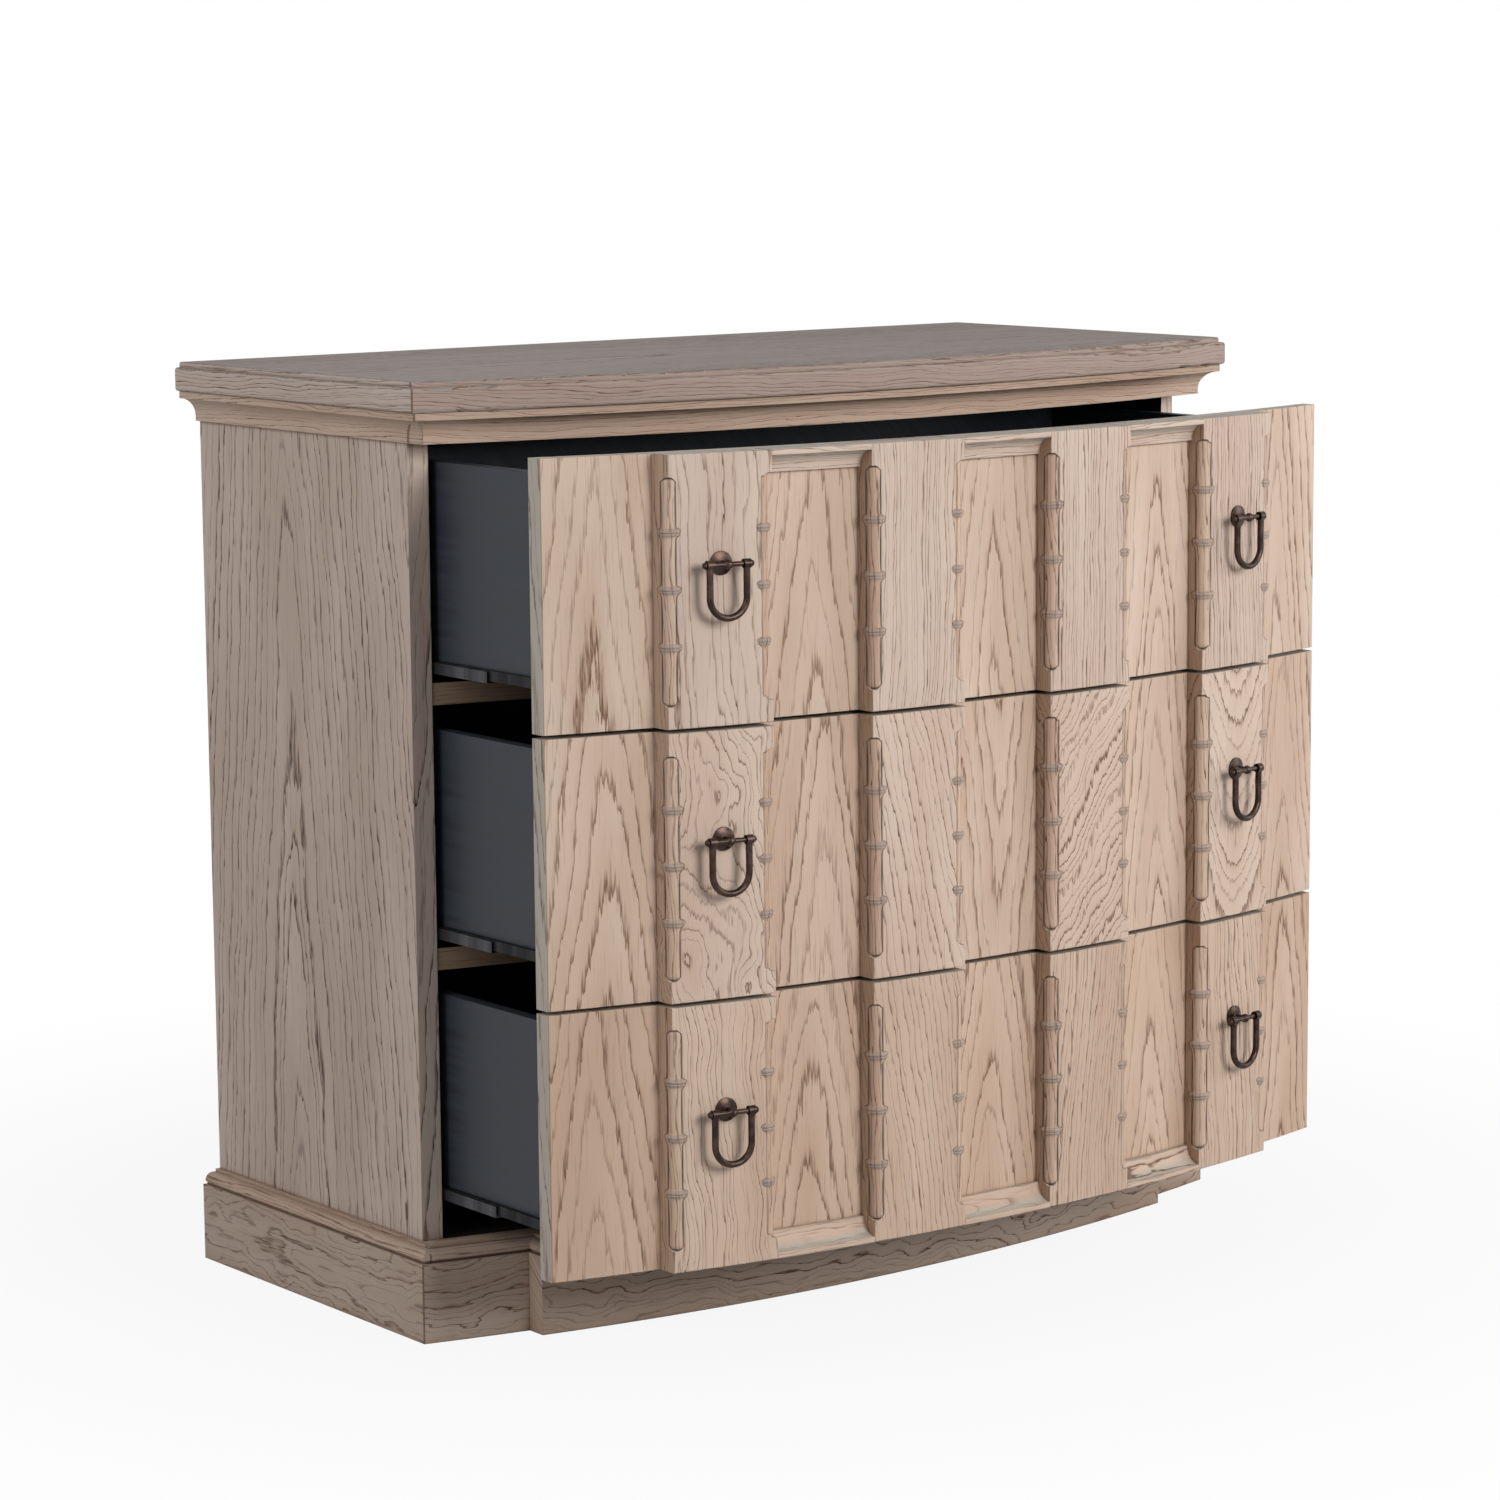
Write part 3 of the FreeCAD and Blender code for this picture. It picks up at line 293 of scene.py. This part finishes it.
# The plinth's colours are darker than the rest of the oak, as painted shade where the light falls off toward
# the floor.
plinth_ground_shaded, plinth_warm_shaded, plinth_glaze = srgb(196, 177, 162), srgb(182, 160, 143), srgb(88, 66, 54)
plinth_mitre = [(mitre_line("plinth_front"), line_brown)]
plinth_boards = {
    "plinth_front": level_grain("x", 3.0, offset=1.78, **wild),
    "plinth_block": level_grain("x", 8.0, offset=1.8, **wild),
    "plinth_left": level_grain("y", 5.0, offset=-0.51, **wild),
    "plinth_right": level_grain("y", 6.0, offset=-0.5, **wild),
}
for board, lay in plinth_boards.items():
    plinth_oak = limed_oak(
        f"{board}_oak", lay, plinth_ground_shaded, plinth_warm_shaded, plinth_glaze, rubbed_highlight=0.15, tints=plinth_mitre
    )
    finish_nodes(plinth_oak, board)

# Cap moulding on the plinth: oak run with a groove, a quarter round and a fillet, mitred at the corners.
# It is straight-grained along its length and glued to the boards below.

straight = {"taper": 0.01, "spacing": 0.0042, "swirl": 0.004}
cap_mitre = [(mitre_line("cap_front"), line_brown)]
cap_oak = limed_oak("cap_oak", level_grain("x", 12.0, -1, **straight), rubbed_highlight=0.12, tints=cap_mitre)
finish_nodes(cap_oak, "cap_front")
cap_side_oak = limed_oak("cap_side_oak", level_grain("y", 13.0, -1, **straight), rubbed_highlight=0.12, tints=cap_mitre)
finish_nodes(cap_side_oak, "cap_left", "cap_right")

# Sides of the case: veneered panels with tall cathedral figure outside, their front edges lipped in oak.
# They stand on the plinth and are rebated for the back; inside, they are stained near black, a stain that
# also paints the shade within the case.

side_inner = -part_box("side_left")[1].x


def side_veneer(tree):
    """Upright figure with its heart near the middle of the panel."""
    edge_shift = 0.2
    (x, y, z), (looks_x, _, _) = board_place(tree)
    across = choose(tree, looks_x, calc(tree, "ADD", x, edge_shift), y)
    return leaf_of(across, z, 21.0, offset=-0.03, taper=0.09, depth=0.012, spacing=0.0105, swirl=0.008)


def inside_faces_stain_and_shade(tree):
    """A mask of the faces that look into the case."""
    slack = 0.0005
    (x, _, _), (looks_x, _, _) = board_place(tree)
    within = calc(tree, "LESS_THAN", calc(tree, "ABSOLUTE", x), side_inner + slack)
    return calc(tree, "MULTIPLY", within, looks_x)


# Near black: a dark stain that also stands in as painted shade for the dark within the case.
black_stain_and_shade = srgb(24, 22, 21)
side_grounds, side_glaze = (srgb(207, 190, 178), srgb(192, 173, 159)), srgb(62, 48, 40)
side_stain_and_shade = [(inside_faces_stain_and_shade, black_stain_and_shade)]
side_oak = limed_oak("side_oak", side_veneer, *side_grounds, side_glaze, over=side_stain_and_shade)
finish_nodes(side_oak, "side_left", "side_right")

# Inside of the case: back panel, bottom, dust boards and rails, set between the sides and stained near black,
# a stain that also stands in as painted shade for the dark inside the case.
# The boards between the drawers have an oak lipping that shows at the front.


def stained_board(name, colour):
    """Dark stain over plain board, a little worn and dusty."""
    material = bpy.data.materials.new(name)
    material.use_nodes = True
    tree = material.node_tree
    surface = tree.nodes["Principled BSDF"]
    (x, y, z), _ = board_place(tree)
    streak = grain_noise(tree, calc(tree, "ADD", y, z), x, 2.0, 420, 7)
    dusty = [channel * 1.4 for channel in colour[:3]] + [1]
    shades = blend(tree, spread(tree, streak, 0.3, 0.7), colour, dusty)
    tree.links.new(shades, surface.inputs["Base Color"])
    tree.links.new(spread(tree, streak, 0.2, 0.8, 0.6, 0.85), surface.inputs["Roughness"])
    bump = {"Height": streak, "Strength": 0.15, "Distance": 0.0004}
    tree.links.new(add(tree, "Bump", bump).outputs[0], surface.inputs["Normal"])
    return material


inside_stain_and_shade = stained_board("inside_stain_and_shade", black_stain_and_shade)
finish_nodes(inside_stain_and_shade, "back_panel", "bottom_board", "plinth_back", "plinth_stretcher", "top_rail")


def behind_lipping(tree):
    """A mask that leaves a lipping of oak along the bowed front edge."""
    _, (_, looks_y, _) = board_place(tree)
    return calc(tree, "SUBTRACT", 1.0, looks_y)


lipping = level_grain("x", 31.0, **straight)
# The lipping's ground is darker than the other oak, as painted shade in the opening of the case; behind the
# lipping the board is near black.
shaded_lipping_grounds = (srgb(178, 152, 128), srgb(164, 138, 114))
divider_oak = limed_oak("divider_oak", lipping, *shaded_lipping_grounds, over=[(behind_lipping, black_stain_and_shade)])
finish_nodes(divider_oak, "divider_upper", "divider_lower")

# Slides: folded steel channels under the drawer sides, screwed to the case and to the drawers.
# The fixed rail and the runner are dark, and the middle member between them is lighter zinc, darkened as
# painted shade for the shadow under the drawers.


def plated_steel(name, colour, rough):
    """Plated steel with faint drawing lines and a few dull patches."""
    material = bpy.data.materials.new(name)
    material.use_nodes = True
    tree = material.node_tree
    surface = tree.nodes["Principled BSDF"]
    surface.inputs["Metallic"].default_value = 1.0
    (x, y, z), _ = board_place(tree)
    line = grain_noise(tree, calc(tree, "ADD", x, z), y, 1.0, 2400, 18)
    patch = grain_noise(tree, x, y, 4.0, 90, 60)
    dull = [channel * 0.6 for channel in colour[:3]] + [1]
    tint = blend(tree, spread(tree, patch, 0.35, 0.7), colour, dull)
    tree.links.new(tint, surface.inputs["Base Color"])
    tree.links.new(spread(tree, patch, 0.2, 0.8, rough, rough + 0.2), surface.inputs["Roughness"])
    bump = {"Height": line, "Strength": 0.1, "Distance": 0.0002}
    tree.links.new(add(tree, "Bump", bump).outputs[0], surface.inputs["Normal"])
    return material


drawers = ("lower_drawer", "middle_drawer", "upper_drawer")
shaded_zinc = plated_steel("shaded_zinc", srgb(74, 74, 78), 0.34)
dark_zinc = plated_steel("dark_zinc", srgb(46, 46, 49), 0.4)
finish_nodes(dark_zinc, "case_slide_rails")
for drawer in drawers:
    finish_nodes(shaded_zinc, f"{drawer}_slide_members", f"{drawer}_pull_screws")
    finish_nodes(dark_zinc, f"{drawer}_runners")

# Cornice: oak moulding under the top, with a fillet over a hollow cove, mitred at the corners.
# It is straight-grained along its length and glued under the overhang of the top.

cornice_mitre = [(mitre_line("cornice_front"), line_brown)]
cornice_grounds = (srgb(188, 164, 146), srgb(174, 148, 129))
cornice_lay, cornice_side_lay = level_grain("x", 41.0, **straight), level_grain("y", 43.0, **straight)
cornice_oak = limed_oak("cornice_oak", cornice_lay, *cornice_grounds, rubbed_highlight=0.12, tints=cornice_mitre)
finish_nodes(cornice_oak, "cornice_front")
cornice_side_oak = limed_oak("cornice_side_oak", cornice_side_lay, rubbed_highlight=0.12, tints=cornice_mitre)
finish_nodes(cornice_side_oak, "cornice_left", "cornice_right")

# Top: a veneered board with rounded edges and a low step, its figure running the long way.
# It lies on the cornice; its edges are lipped in straight oak, and its face is painted greyer and darker than
# the rest, as painted shade where less light falls from above.


def top_veneer(tree):
    """Figure along the top face, with lippings whose grain follows each edge."""
    (x, y, z), (looks_x, _, looks_z) = board_place(tree)
    edge_across = choose(tree, looks_x, calc(tree, "ADD", z, bow_depth(tree, x, y)), z)
    across = choose(tree, looks_z, edge_across, y)
    along = choose(tree, calc(tree, "MULTIPLY", looks_x, calc(tree, "SUBTRACT", 1.0, looks_z)), x, y)
    spacing = choose(tree, looks_z, 0.0036, 0.0075)
    swirl = choose(tree, looks_z, 0.002, 0.012)
    return leaf_of(across, along, 52.0, offset=0.07, taper=0.03, depth=0.02, spacing=spacing, swirl=swirl)


def shaded_upper_face(tree):
    """A mask of the faces that look up, darkened to grey as painted shade."""
    _, (_, _, looks_z) = board_place(tree)
    return calc(tree, "MULTIPLY", looks_z, 0.7)


def front_lipping(tree):
    """A mask of the bowed front edge, which is browner than the sides."""
    _, (_, looks_y, _) = board_place(tree)
    return calc(tree, "MULTIPLY", looks_y, 0.65)


top_shade_grey, lipping_brown = srgb(140, 132, 128), srgb(150, 127, 116)
top_grounds = (srgb(208, 194, 184), srgb(196, 180, 169))
top_tints = [(shaded_upper_face, top_shade_grey), (front_lipping, lipping_brown), (mitre_line("top_board"), line_brown)]
top_oak = limed_oak("top_oak", top_veneer, *top_grounds, gloss=0.08, tints=top_tints)
finish_nodes(top_oak, "top_board")

# Drawer boxes: plain boards in blue-grey paint, rebated to the fronts and grooved for the bottom.
# The paint is rolled on, satin, and a little rubbed along the edges.

thin_paint, full_paint, rubbed_paint = srgb(40, 45, 53), srgb(47, 53, 61), srgb(84, 90, 96)


def box_paint():
    """Satin paint, rolled on, with fine texture, faint runs of board grain and rubbed edges."""
    material = bpy.data.materials.new("box_paint")
    material.use_nodes = True
    tree = material.node_tree
    surface = tree.nodes["Principled BSDF"]
    surface.inputs["Specular IOR Level"].default_value = 0.3
    (x, y, z), _ = board_place(tree)
    grain = grain_noise(tree, calc(tree, "ADD", x, z), y, 6.0, 150, 8)
    place = add(tree, "TexCoord").outputs["Object"]
    roll = add(tree, "TexNoise", {"Vector": place, "Scale": 700.0, "Detail": 2.0}).outputs["Fac"]
    edge = add(tree, "Group", {"Radius": 0.0012}, node_tree=EASED_EDGE).outputs
    colour = blend(tree, spread(tree, grain, 0.3, 0.7), thin_paint, full_paint)
    colour = blend(tree, calc(tree, "MULTIPLY", edge["Rubbed"], 0.35), colour, rubbed_paint)
    height = calc(tree, "MULTIPLY_ADD", roll, 0.35, grain)
    bump = {"Height": height, "Strength": 0.12, "Distance": 0.0004, "Normal": edge["Normal"]}
    tree.links.new(colour, surface.inputs["Base Color"])
    tree.links.new(spread(tree, grain, 0.2, 0.8, 0.4, 0.52), surface.inputs["Roughness"])
    tree.links.new(add(tree, "Bump", bump).outputs[0], surface.inputs["Normal"])
    return material


paint = box_paint()
for drawer in drawers:
    finish_nodes(paint, *[f"{drawer}_{part}" for part in ("side_left", "side_right", "back", "bottom")])

# Drawer fronts: bowed oak boards with raised blocks and cavetto rails glued on, one leaf of veneer to a bay.
# The boards between the blocks show cathedral arches; the blocks show straight, leaning or curly grain.
# Each leaf has its heart's place, taper, depth, ring spacing and swirl, from the left bay to the right.

block_bays = 7  # four blocks and the three panels between them
blocks_low, blocks_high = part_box("middle_drawer_blocks")
bay_width = (blocks_high.x - blocks_low.x) / block_bays

board_leaves = {
    "lower_drawer": {
        0: (0.006, 0.13, 0.007, 0.0130, 0.002),
        2: (0.002, 0.15, 0.012, 0.0115, 0.004),
        4: (0.004, 0.14, 0.012, 0.0115, 0.002),
        6: (0.002, 0.14, 0.010, 0.0115, 0.002),
        8: (-0.004, 0.12, 0.010, 0.0115, 0.002),
    },
    "middle_drawer": {
        0: (-0.004, 0.14, 0.012, 0.0130, 0.004),
        2: (-0.012, 0.13, 0.010, 0.0130, 0.004),
        4: (-0.006, -0.12, 0.006, 0.0115, 0.002),
        6: (-0.010, 0.13, 0.010, 0.0115, 0.002),
        8: (-0.004, 0.12, 0.012, 0.0115, 0.004),
    },
    "upper_drawer": {
        0: (0.004, 0.10, 0.005, 0.0130, 0.002),
        2: (-0.006, 0.13, 0.008, 0.0125, 0.002),
        4: (-0.004, 0.13, 0.006, 0.0125, 0.002),
        6: (-0.008, 0.12, 0.008, 0.0115, 0.002),
        8: (0.012, 0.11, 0.006, 0.0115, 0.002),
    },
}
block_leaves = {
    "lower_drawer": {
        1: (0.090, 0.05, 0.010, 0.0055, 0.022),
        3: (0.070, 0.15, 0.010, 0.0060, 0.006),
        5: (0.100, -0.10, 0.010, 0.0045, 0.006),
        7: (0.100, 0.08, 0.010, 0.0050, 0.010),
    },
    "middle_drawer": {
        1: (0.020, 0.15, 0.020, 0.0070, 0.075),
        3: (0.075, 0.24, 0.010, 0.0080, 0.008),
        5: (-0.060, 0.65, 0.030, 0.0085, 0.030),
        7: (0.000, -0.34, 0.030, 0.0085, 0.010),
    },
    "upper_drawer": {
        1: (0.060, 0.04, 0.010, 0.0105, 0.012),
        3: (0.110, -0.03, 0.010, 0.0042, 0.003),
        5: (0.120, 0.02, 0.010, 0.0040, 0.003),
        7: (0.110, 0.03, 0.010, 0.0044, 0.003),
    },
}
# The lower fronts' grounds are a little darker and warmer: partly the veneer's tone, partly painted shade
# where the light falls off toward the floor.
board_grounds_shaded_low = {
    "lower_drawer": (srgb(207, 182, 162), srgb(193, 165, 143)),
    "middle_drawer": (srgb(209, 186, 168), srgb(196, 170, 150)),
    "upper_drawer": (srgb(210, 189, 172), srgb(197, 173, 154)),
}
block_grounds = {
    "lower_drawer": (srgb(206, 183, 165), srgb(194, 168, 148)),
    "middle_drawer": (srgb(209, 188, 172), srgb(198, 174, 157)),
    "upper_drawer": (srgb(206, 187, 172), srgb(195, 173, 158)),
}


def bay_of(tree, x):
    """The number of the bay that a point is in; returns of a block belong to that block."""
    step_in = 0.004
    outward = add(tree, "SeparateXYZ", {0: add(tree, "NewGeometry").outputs["True Normal"]}).outputs[0]
    within = calc(tree, "MULTIPLY_ADD", outward, -step_in, x)
    from_end = calc(tree, "SUBTRACT", within, blocks_low.x - bay_width)
    return calc(tree, "FLOOR", calc(tree, "DIVIDE", from_end, bay_width))


def by_bay(tree, bay, numbers):
    """One number for each bay."""
    total = 0.0
    for count, number in numbers.items():
        here = calc(tree, "COMPARE", bay, count, 0.5)
        total = calc(tree, "MULTIPLY_ADD", here, number, total)
    return total


def bay_veneer(low, start, leaves, railed):
    """Upright leaves from a lower edge, one for each bay; the rails between the blocks run level."""
    rail_spacing = 0.0045

    def lay(tree):
        (x, y, z), (looks_x, _, _) = board_place(tree)
        bay = bay_of(tree, x)
        middle = calc(tree, "MULTIPLY_ADD", bay, bay_width, blocks_low.x - bay_width / 2)
        across = choose(tree, looks_x, calc(tree, "SUBTRACT", x, middle), y)
        along = calc(tree, "SUBTRACT", z, low)
        bays = leaves.keys()
        figure = [by_bay(tree, bay, dict(zip(bays, column))) for column in zip(*leaves.values())]
        if railed:
            rail = calc(tree, "COMPARE", calc(tree, "MODULO", bay, 2.0), 0.0, 0.5)
            profile = calc(tree, "ADD", z, bow_depth(tree, x, y))
            across = choose(tree, rail, across, profile)
            along = choose(tree, rail, along, x)
            figure[3] = calc(tree, "MULTIPLY_ADD", rail, rail_spacing, figure[3])
        return leaf_of(across, along, calc(tree, "ADD", bay, start), *figure)

    return lay


def sawn_edge(tree):
    """A mask of the top and bottom edges, which are greyer than the veneer."""
    _, (_, _, looks_z) = board_place(tree)
    return calc(tree, "MULTIPLY", looks_z, 0.75)


def board_end(tree):
    """A mask of the ends of a front, where the edge of the board shows."""
    _, (looks_x, _, _) = board_place(tree)
    return calc(tree, "MULTIPLY", looks_x, 0.8)


def veneer_line(tree):
    """A mask of the rounded arris between the end of a front and its face, where the veneer is dark."""
    facing = add(tree, "SeparateXYZ", {0: add(tree, "NewGeometry").outputs["True Normal"]}).outputs[0]
    turned = calc(tree, "ABSOLUTE", facing)
    return calc(tree, "MULTIPLY", spread(tree, turned, 0.3, 0.4), spread(tree, turned, 0.75, 0.9, 0.5, 0.0))


def shaded_block_return(tree):
    """A mask of the narrow sides of the blocks, browned as painted shade on faces turned from the light."""
    _, (looks_x, _, _) = board_place(tree)
    return calc(tree, "MULTIPLY", looks_x, 0.55)


edge_grey = srgb(190, 185, 174)
return_shade_brown = srgb(174, 143, 116)
board_glaze, block_glaze = srgb(120, 90, 71), srgb(104, 80, 66)
board_tints = [(sawn_edge, edge_grey), (board_end, edge_grey), (veneer_line, line_brown)]
block_tints = [(sawn_edge, edge_grey), (shaded_block_return, return_shade_brown)]
for count, drawer in enumerate(drawers):
    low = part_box(f"{drawer}_front")[0].z
    first_leaf = 60.0 + 20 * count
    board_lay = bay_veneer(low, first_leaf, board_leaves[drawer], railed=False)
    board_colours = (*board_grounds_shaded_low[drawer], board_glaze)
    board_oak = limed_oak(f"{drawer}_board_oak", board_lay, *board_colours, glaze_and_shade=0.5, tints=board_tints)
    finish_nodes(board_oak, f"{drawer}_front")
    block_lay = bay_veneer(low, first_leaf, block_leaves[drawer], railed=True)
    block_colours = (*block_grounds[drawer], block_glaze)
    block_oak = limed_oak(f"{drawer}_block_oak", block_lay, *block_colours, glaze_and_shade=0.36, tints=block_tints)
    finish_nodes(block_oak, f"{drawer}_blocks")

# Bamboo rods: turned in oak with three beaded rings each, and glued into niches in the blocks' corners.
# The glaze is left thick on the rings, which look greyer than the shafts.

ring_count = 3
ring_reach = 0.0034
ring_rise = 0.0018


def rod_grain(low):
    """Streaky grain up a rod, running round its face."""

    def lay(tree):
        (x, y, z), _ = board_place(tree)
        facing = add(tree, "SeparateXYZ", {0: add(tree, "NewGeometry").outputs["True Normal"]}).outputs[0]
        across = calc(tree, "MULTIPLY_ADD", calc(tree, "SIGN", facing), y, x)
        along = calc(tree, "SUBTRACT", z, low)
        return leaf_of(across, along, 90.0, offset=0.1, taper=0.05, depth=0.01, spacing=0.0055, swirl=0.012)

    return lay


def on_rings(low, height):
    """A mask of the rings up a rod."""
    ring_pitch = height / (ring_count + 1)

    def mask(tree):
        (_, _, z), _ = board_place(tree)
        step = calc(tree, "DIVIDE", calc(tree, "SUBTRACT", z, low + ring_rise), ring_pitch)
        near = calc(tree, "ABSOLUTE", calc(tree, "SUBTRACT", step, calc(tree, "ROUND", step)))
        band = spread(tree, near, ring_reach / ring_pitch, ring_reach * 1.2 / ring_pitch, 0.8, 0.0)
        return calc(tree, "MULTIPLY", band, calc(tree, "COMPARE", step, (ring_count + 1) / 2, 1.5))

    return mask


ring_grey = srgb(168, 151, 140)
rod_grounds = (srgb(205, 180, 160), srgb(186, 157, 136))
for drawer in drawers:
    rod_low, rod_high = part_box(f"{drawer}_bamboo_rods")
    rings = [(on_rings(rod_low.z, rod_high.z - rod_low.z), ring_grey)]
    rod_lay = rod_grain(rod_low.z)
    rod_oak = limed_oak(f"{drawer}_rod_oak", rod_lay, *rod_grounds, glaze_and_shade=0.5, tints=rings)
    finish_nodes(rod_oak, f"{drawer}_bamboo_rods")

# Drop pulls: a turned rosette and ball, a bar with capped ends and a bail of round wire, screwed from inside.
# They are brass with a dark bronze patina that handling has worn to copper on the high parts.

dark_patina, thin_patina, worn_copper = srgb(52, 42, 38), srgb(74, 59, 52), srgb(122, 101, 88)


def rubbed_bronze():
    """Dark patina in soft clouds, worn to warm metal along the edges."""
    material = bpy.data.materials.new("rubbed_bronze")
    material.use_nodes = True
    tree = material.node_tree
    surface = tree.nodes["Principled BSDF"]
    surface.inputs["Metallic"].default_value = 1.0
    place = add(tree, "TexCoord").outputs["Object"]
    cloud = add(tree, "TexNoise", {"Vector": place, "Scale": 140.0, "Detail": 4.0}).outputs["Fac"]
    speck = add(tree, "TexNoise", {"Vector": place, "Scale": 1500.0, "Detail": 2.0}).outputs["Fac"]
    edge = add(tree, "Group", {"Radius": 0.0008}, node_tree=EASED_EDGE).outputs
    colour = blend(tree, spread(tree, cloud, 0.35, 0.68), dark_patina, thin_patina)
    colour = blend(tree, calc(tree, "MULTIPLY", edge["Rubbed"], 0.5), colour, worn_copper)
    bump = {"Height": speck, "Strength": 0.12, "Distance": 0.0002, "Normal": edge["Normal"]}
    tree.links.new(colour, surface.inputs["Base Color"])
    tree.links.new(spread(tree, cloud, 0.2, 0.8, 0.26, 0.42), surface.inputs["Roughness"])
    tree.links.new(add(tree, "Bump", bump).outputs[0], surface.inputs["Normal"])
    return material


bronze = rubbed_bronze()
for drawer in drawers:
    finish_nodes(bronze, f"{drawer}_pull_posts", f"{drawer}_bail_left", f"{drawer}_bail_right")

# Studio: a pale floor that runs out to white, and a low grey world that is white where it is seen.
# A broad lamp stands in front and above, with a weaker one to the left and a weak one to the right.


def where_seen(tree):
    """A mask of the rays that look at the studio, straight or by way of metal or glass."""
    path = add(tree, "LightPath").outputs
    seen = calc(tree, "MAXIMUM", path["Is Camera Ray"], path["Is Glossy Ray"])
    return calc(tree, "MAXIMUM", seen, path["Is Transmission Ray"])


def floor_material():
    """Pale floor that keeps the chest's shadow near it and is plain white further off."""
    material = bpy.data.materials.new("studio_floor")
    material.use_nodes = True
    tree = material.node_tree
    tree.nodes.remove(tree.nodes["Principled BSDF"])
    place = add(tree, "NewGeometry").outputs["Position"]
    distance = add(tree, "VectorMath", {0: place}, operation="LENGTH").outputs["Value"]
    white = add(tree, "Emission", {"Color": (1, 1, 1, 1), "Strength": 1.0}).outputs[0]
    matt = add(tree, "BsdfDiffuse", {"Color": (0.5, 0.5, 0.5, 1)}).outputs[0]
    shadow_near, shadow_far = 0.3, 1.4
    whiteness = spread(tree, distance, shadow_near, shadow_far, 0.9, 1.0)
    share = calc(tree, "MULTIPLY", where_seen(tree), whiteness)
    shown = add(tree, "MixShader", {0: share, 1: matt, 2: white}).outputs[0]
    tree.links.new(shown, tree.nodes["Material Output"].inputs["Surface"])
    return material


floor_width = 30
bpy.ops.mesh.primitive_plane_add(size=floor_width)
floor = bpy.context.object
floor.name = "studio_floor"
floor.data.materials.append(floor_material())

world = bpy.data.worlds.new("studio")
bpy.context.scene.world = world
world.use_nodes = True
sky_tree = world.node_tree
sky = blend(sky_tree, where_seen(sky_tree), (0.13, 0.13, 0.135, 1), (1, 1, 1, 1))
sky_tree.links.new(sky, sky_tree.nodes["Background"].inputs["Color"])

lamp_target = Vector((0, -0.1, 0.42))


def soft_lamp(name, place, size, watts):
    """A square soft box that faces the chest."""
    lamp = bpy.data.lights.new(name, "AREA")
    lamp.size = size
    lamp.energy = watts
    box = bpy.data.objects.new(name, lamp)
    box.location = place
    box.rotation_euler = (lamp_target - Vector(place)).to_track_quat("-Z", "Y").to_euler()
    bpy.context.scene.collection.objects.link(box)


soft_lamp("front_lamp", (0.35, -3.8, 1.85), size=1.5, watts=96)
soft_lamp("left_lamp", (-3.0, 0.0, 1.9), size=2.0, watts=37)
soft_lamp("right_lamp", (3.0, -2.2, 1.4), size=1.6, watts=36)

# Camera: a long lens on a tripod to the left of the front, a little above the top.
# Its angles and place are those of the photograph.

yaw, pitch, roll = 37.4566, 8.5607, -0.4867
camera_data = bpy.data.cameras.new("camera")
camera_data.sensor_width = 36
camera_data.lens = 105.99
camera = bpy.data.objects.new("camera", camera_data)
turn = Matrix.Rotation(math.radians(-yaw), 3, "Z") @ Matrix.Rotation(math.radians(90 - pitch), 3, "X")
camera.rotation_euler = (turn @ Matrix.Rotation(math.radians(roll), 3, "Z")).to_euler()
camera.location = (-2.5779, -3.4381, 1.1159)
bpy.context.scene.collection.objects.link(camera)
bpy.context.scene.camera = camera
bpy.context.scene.view_settings.view_transform = "Standard"
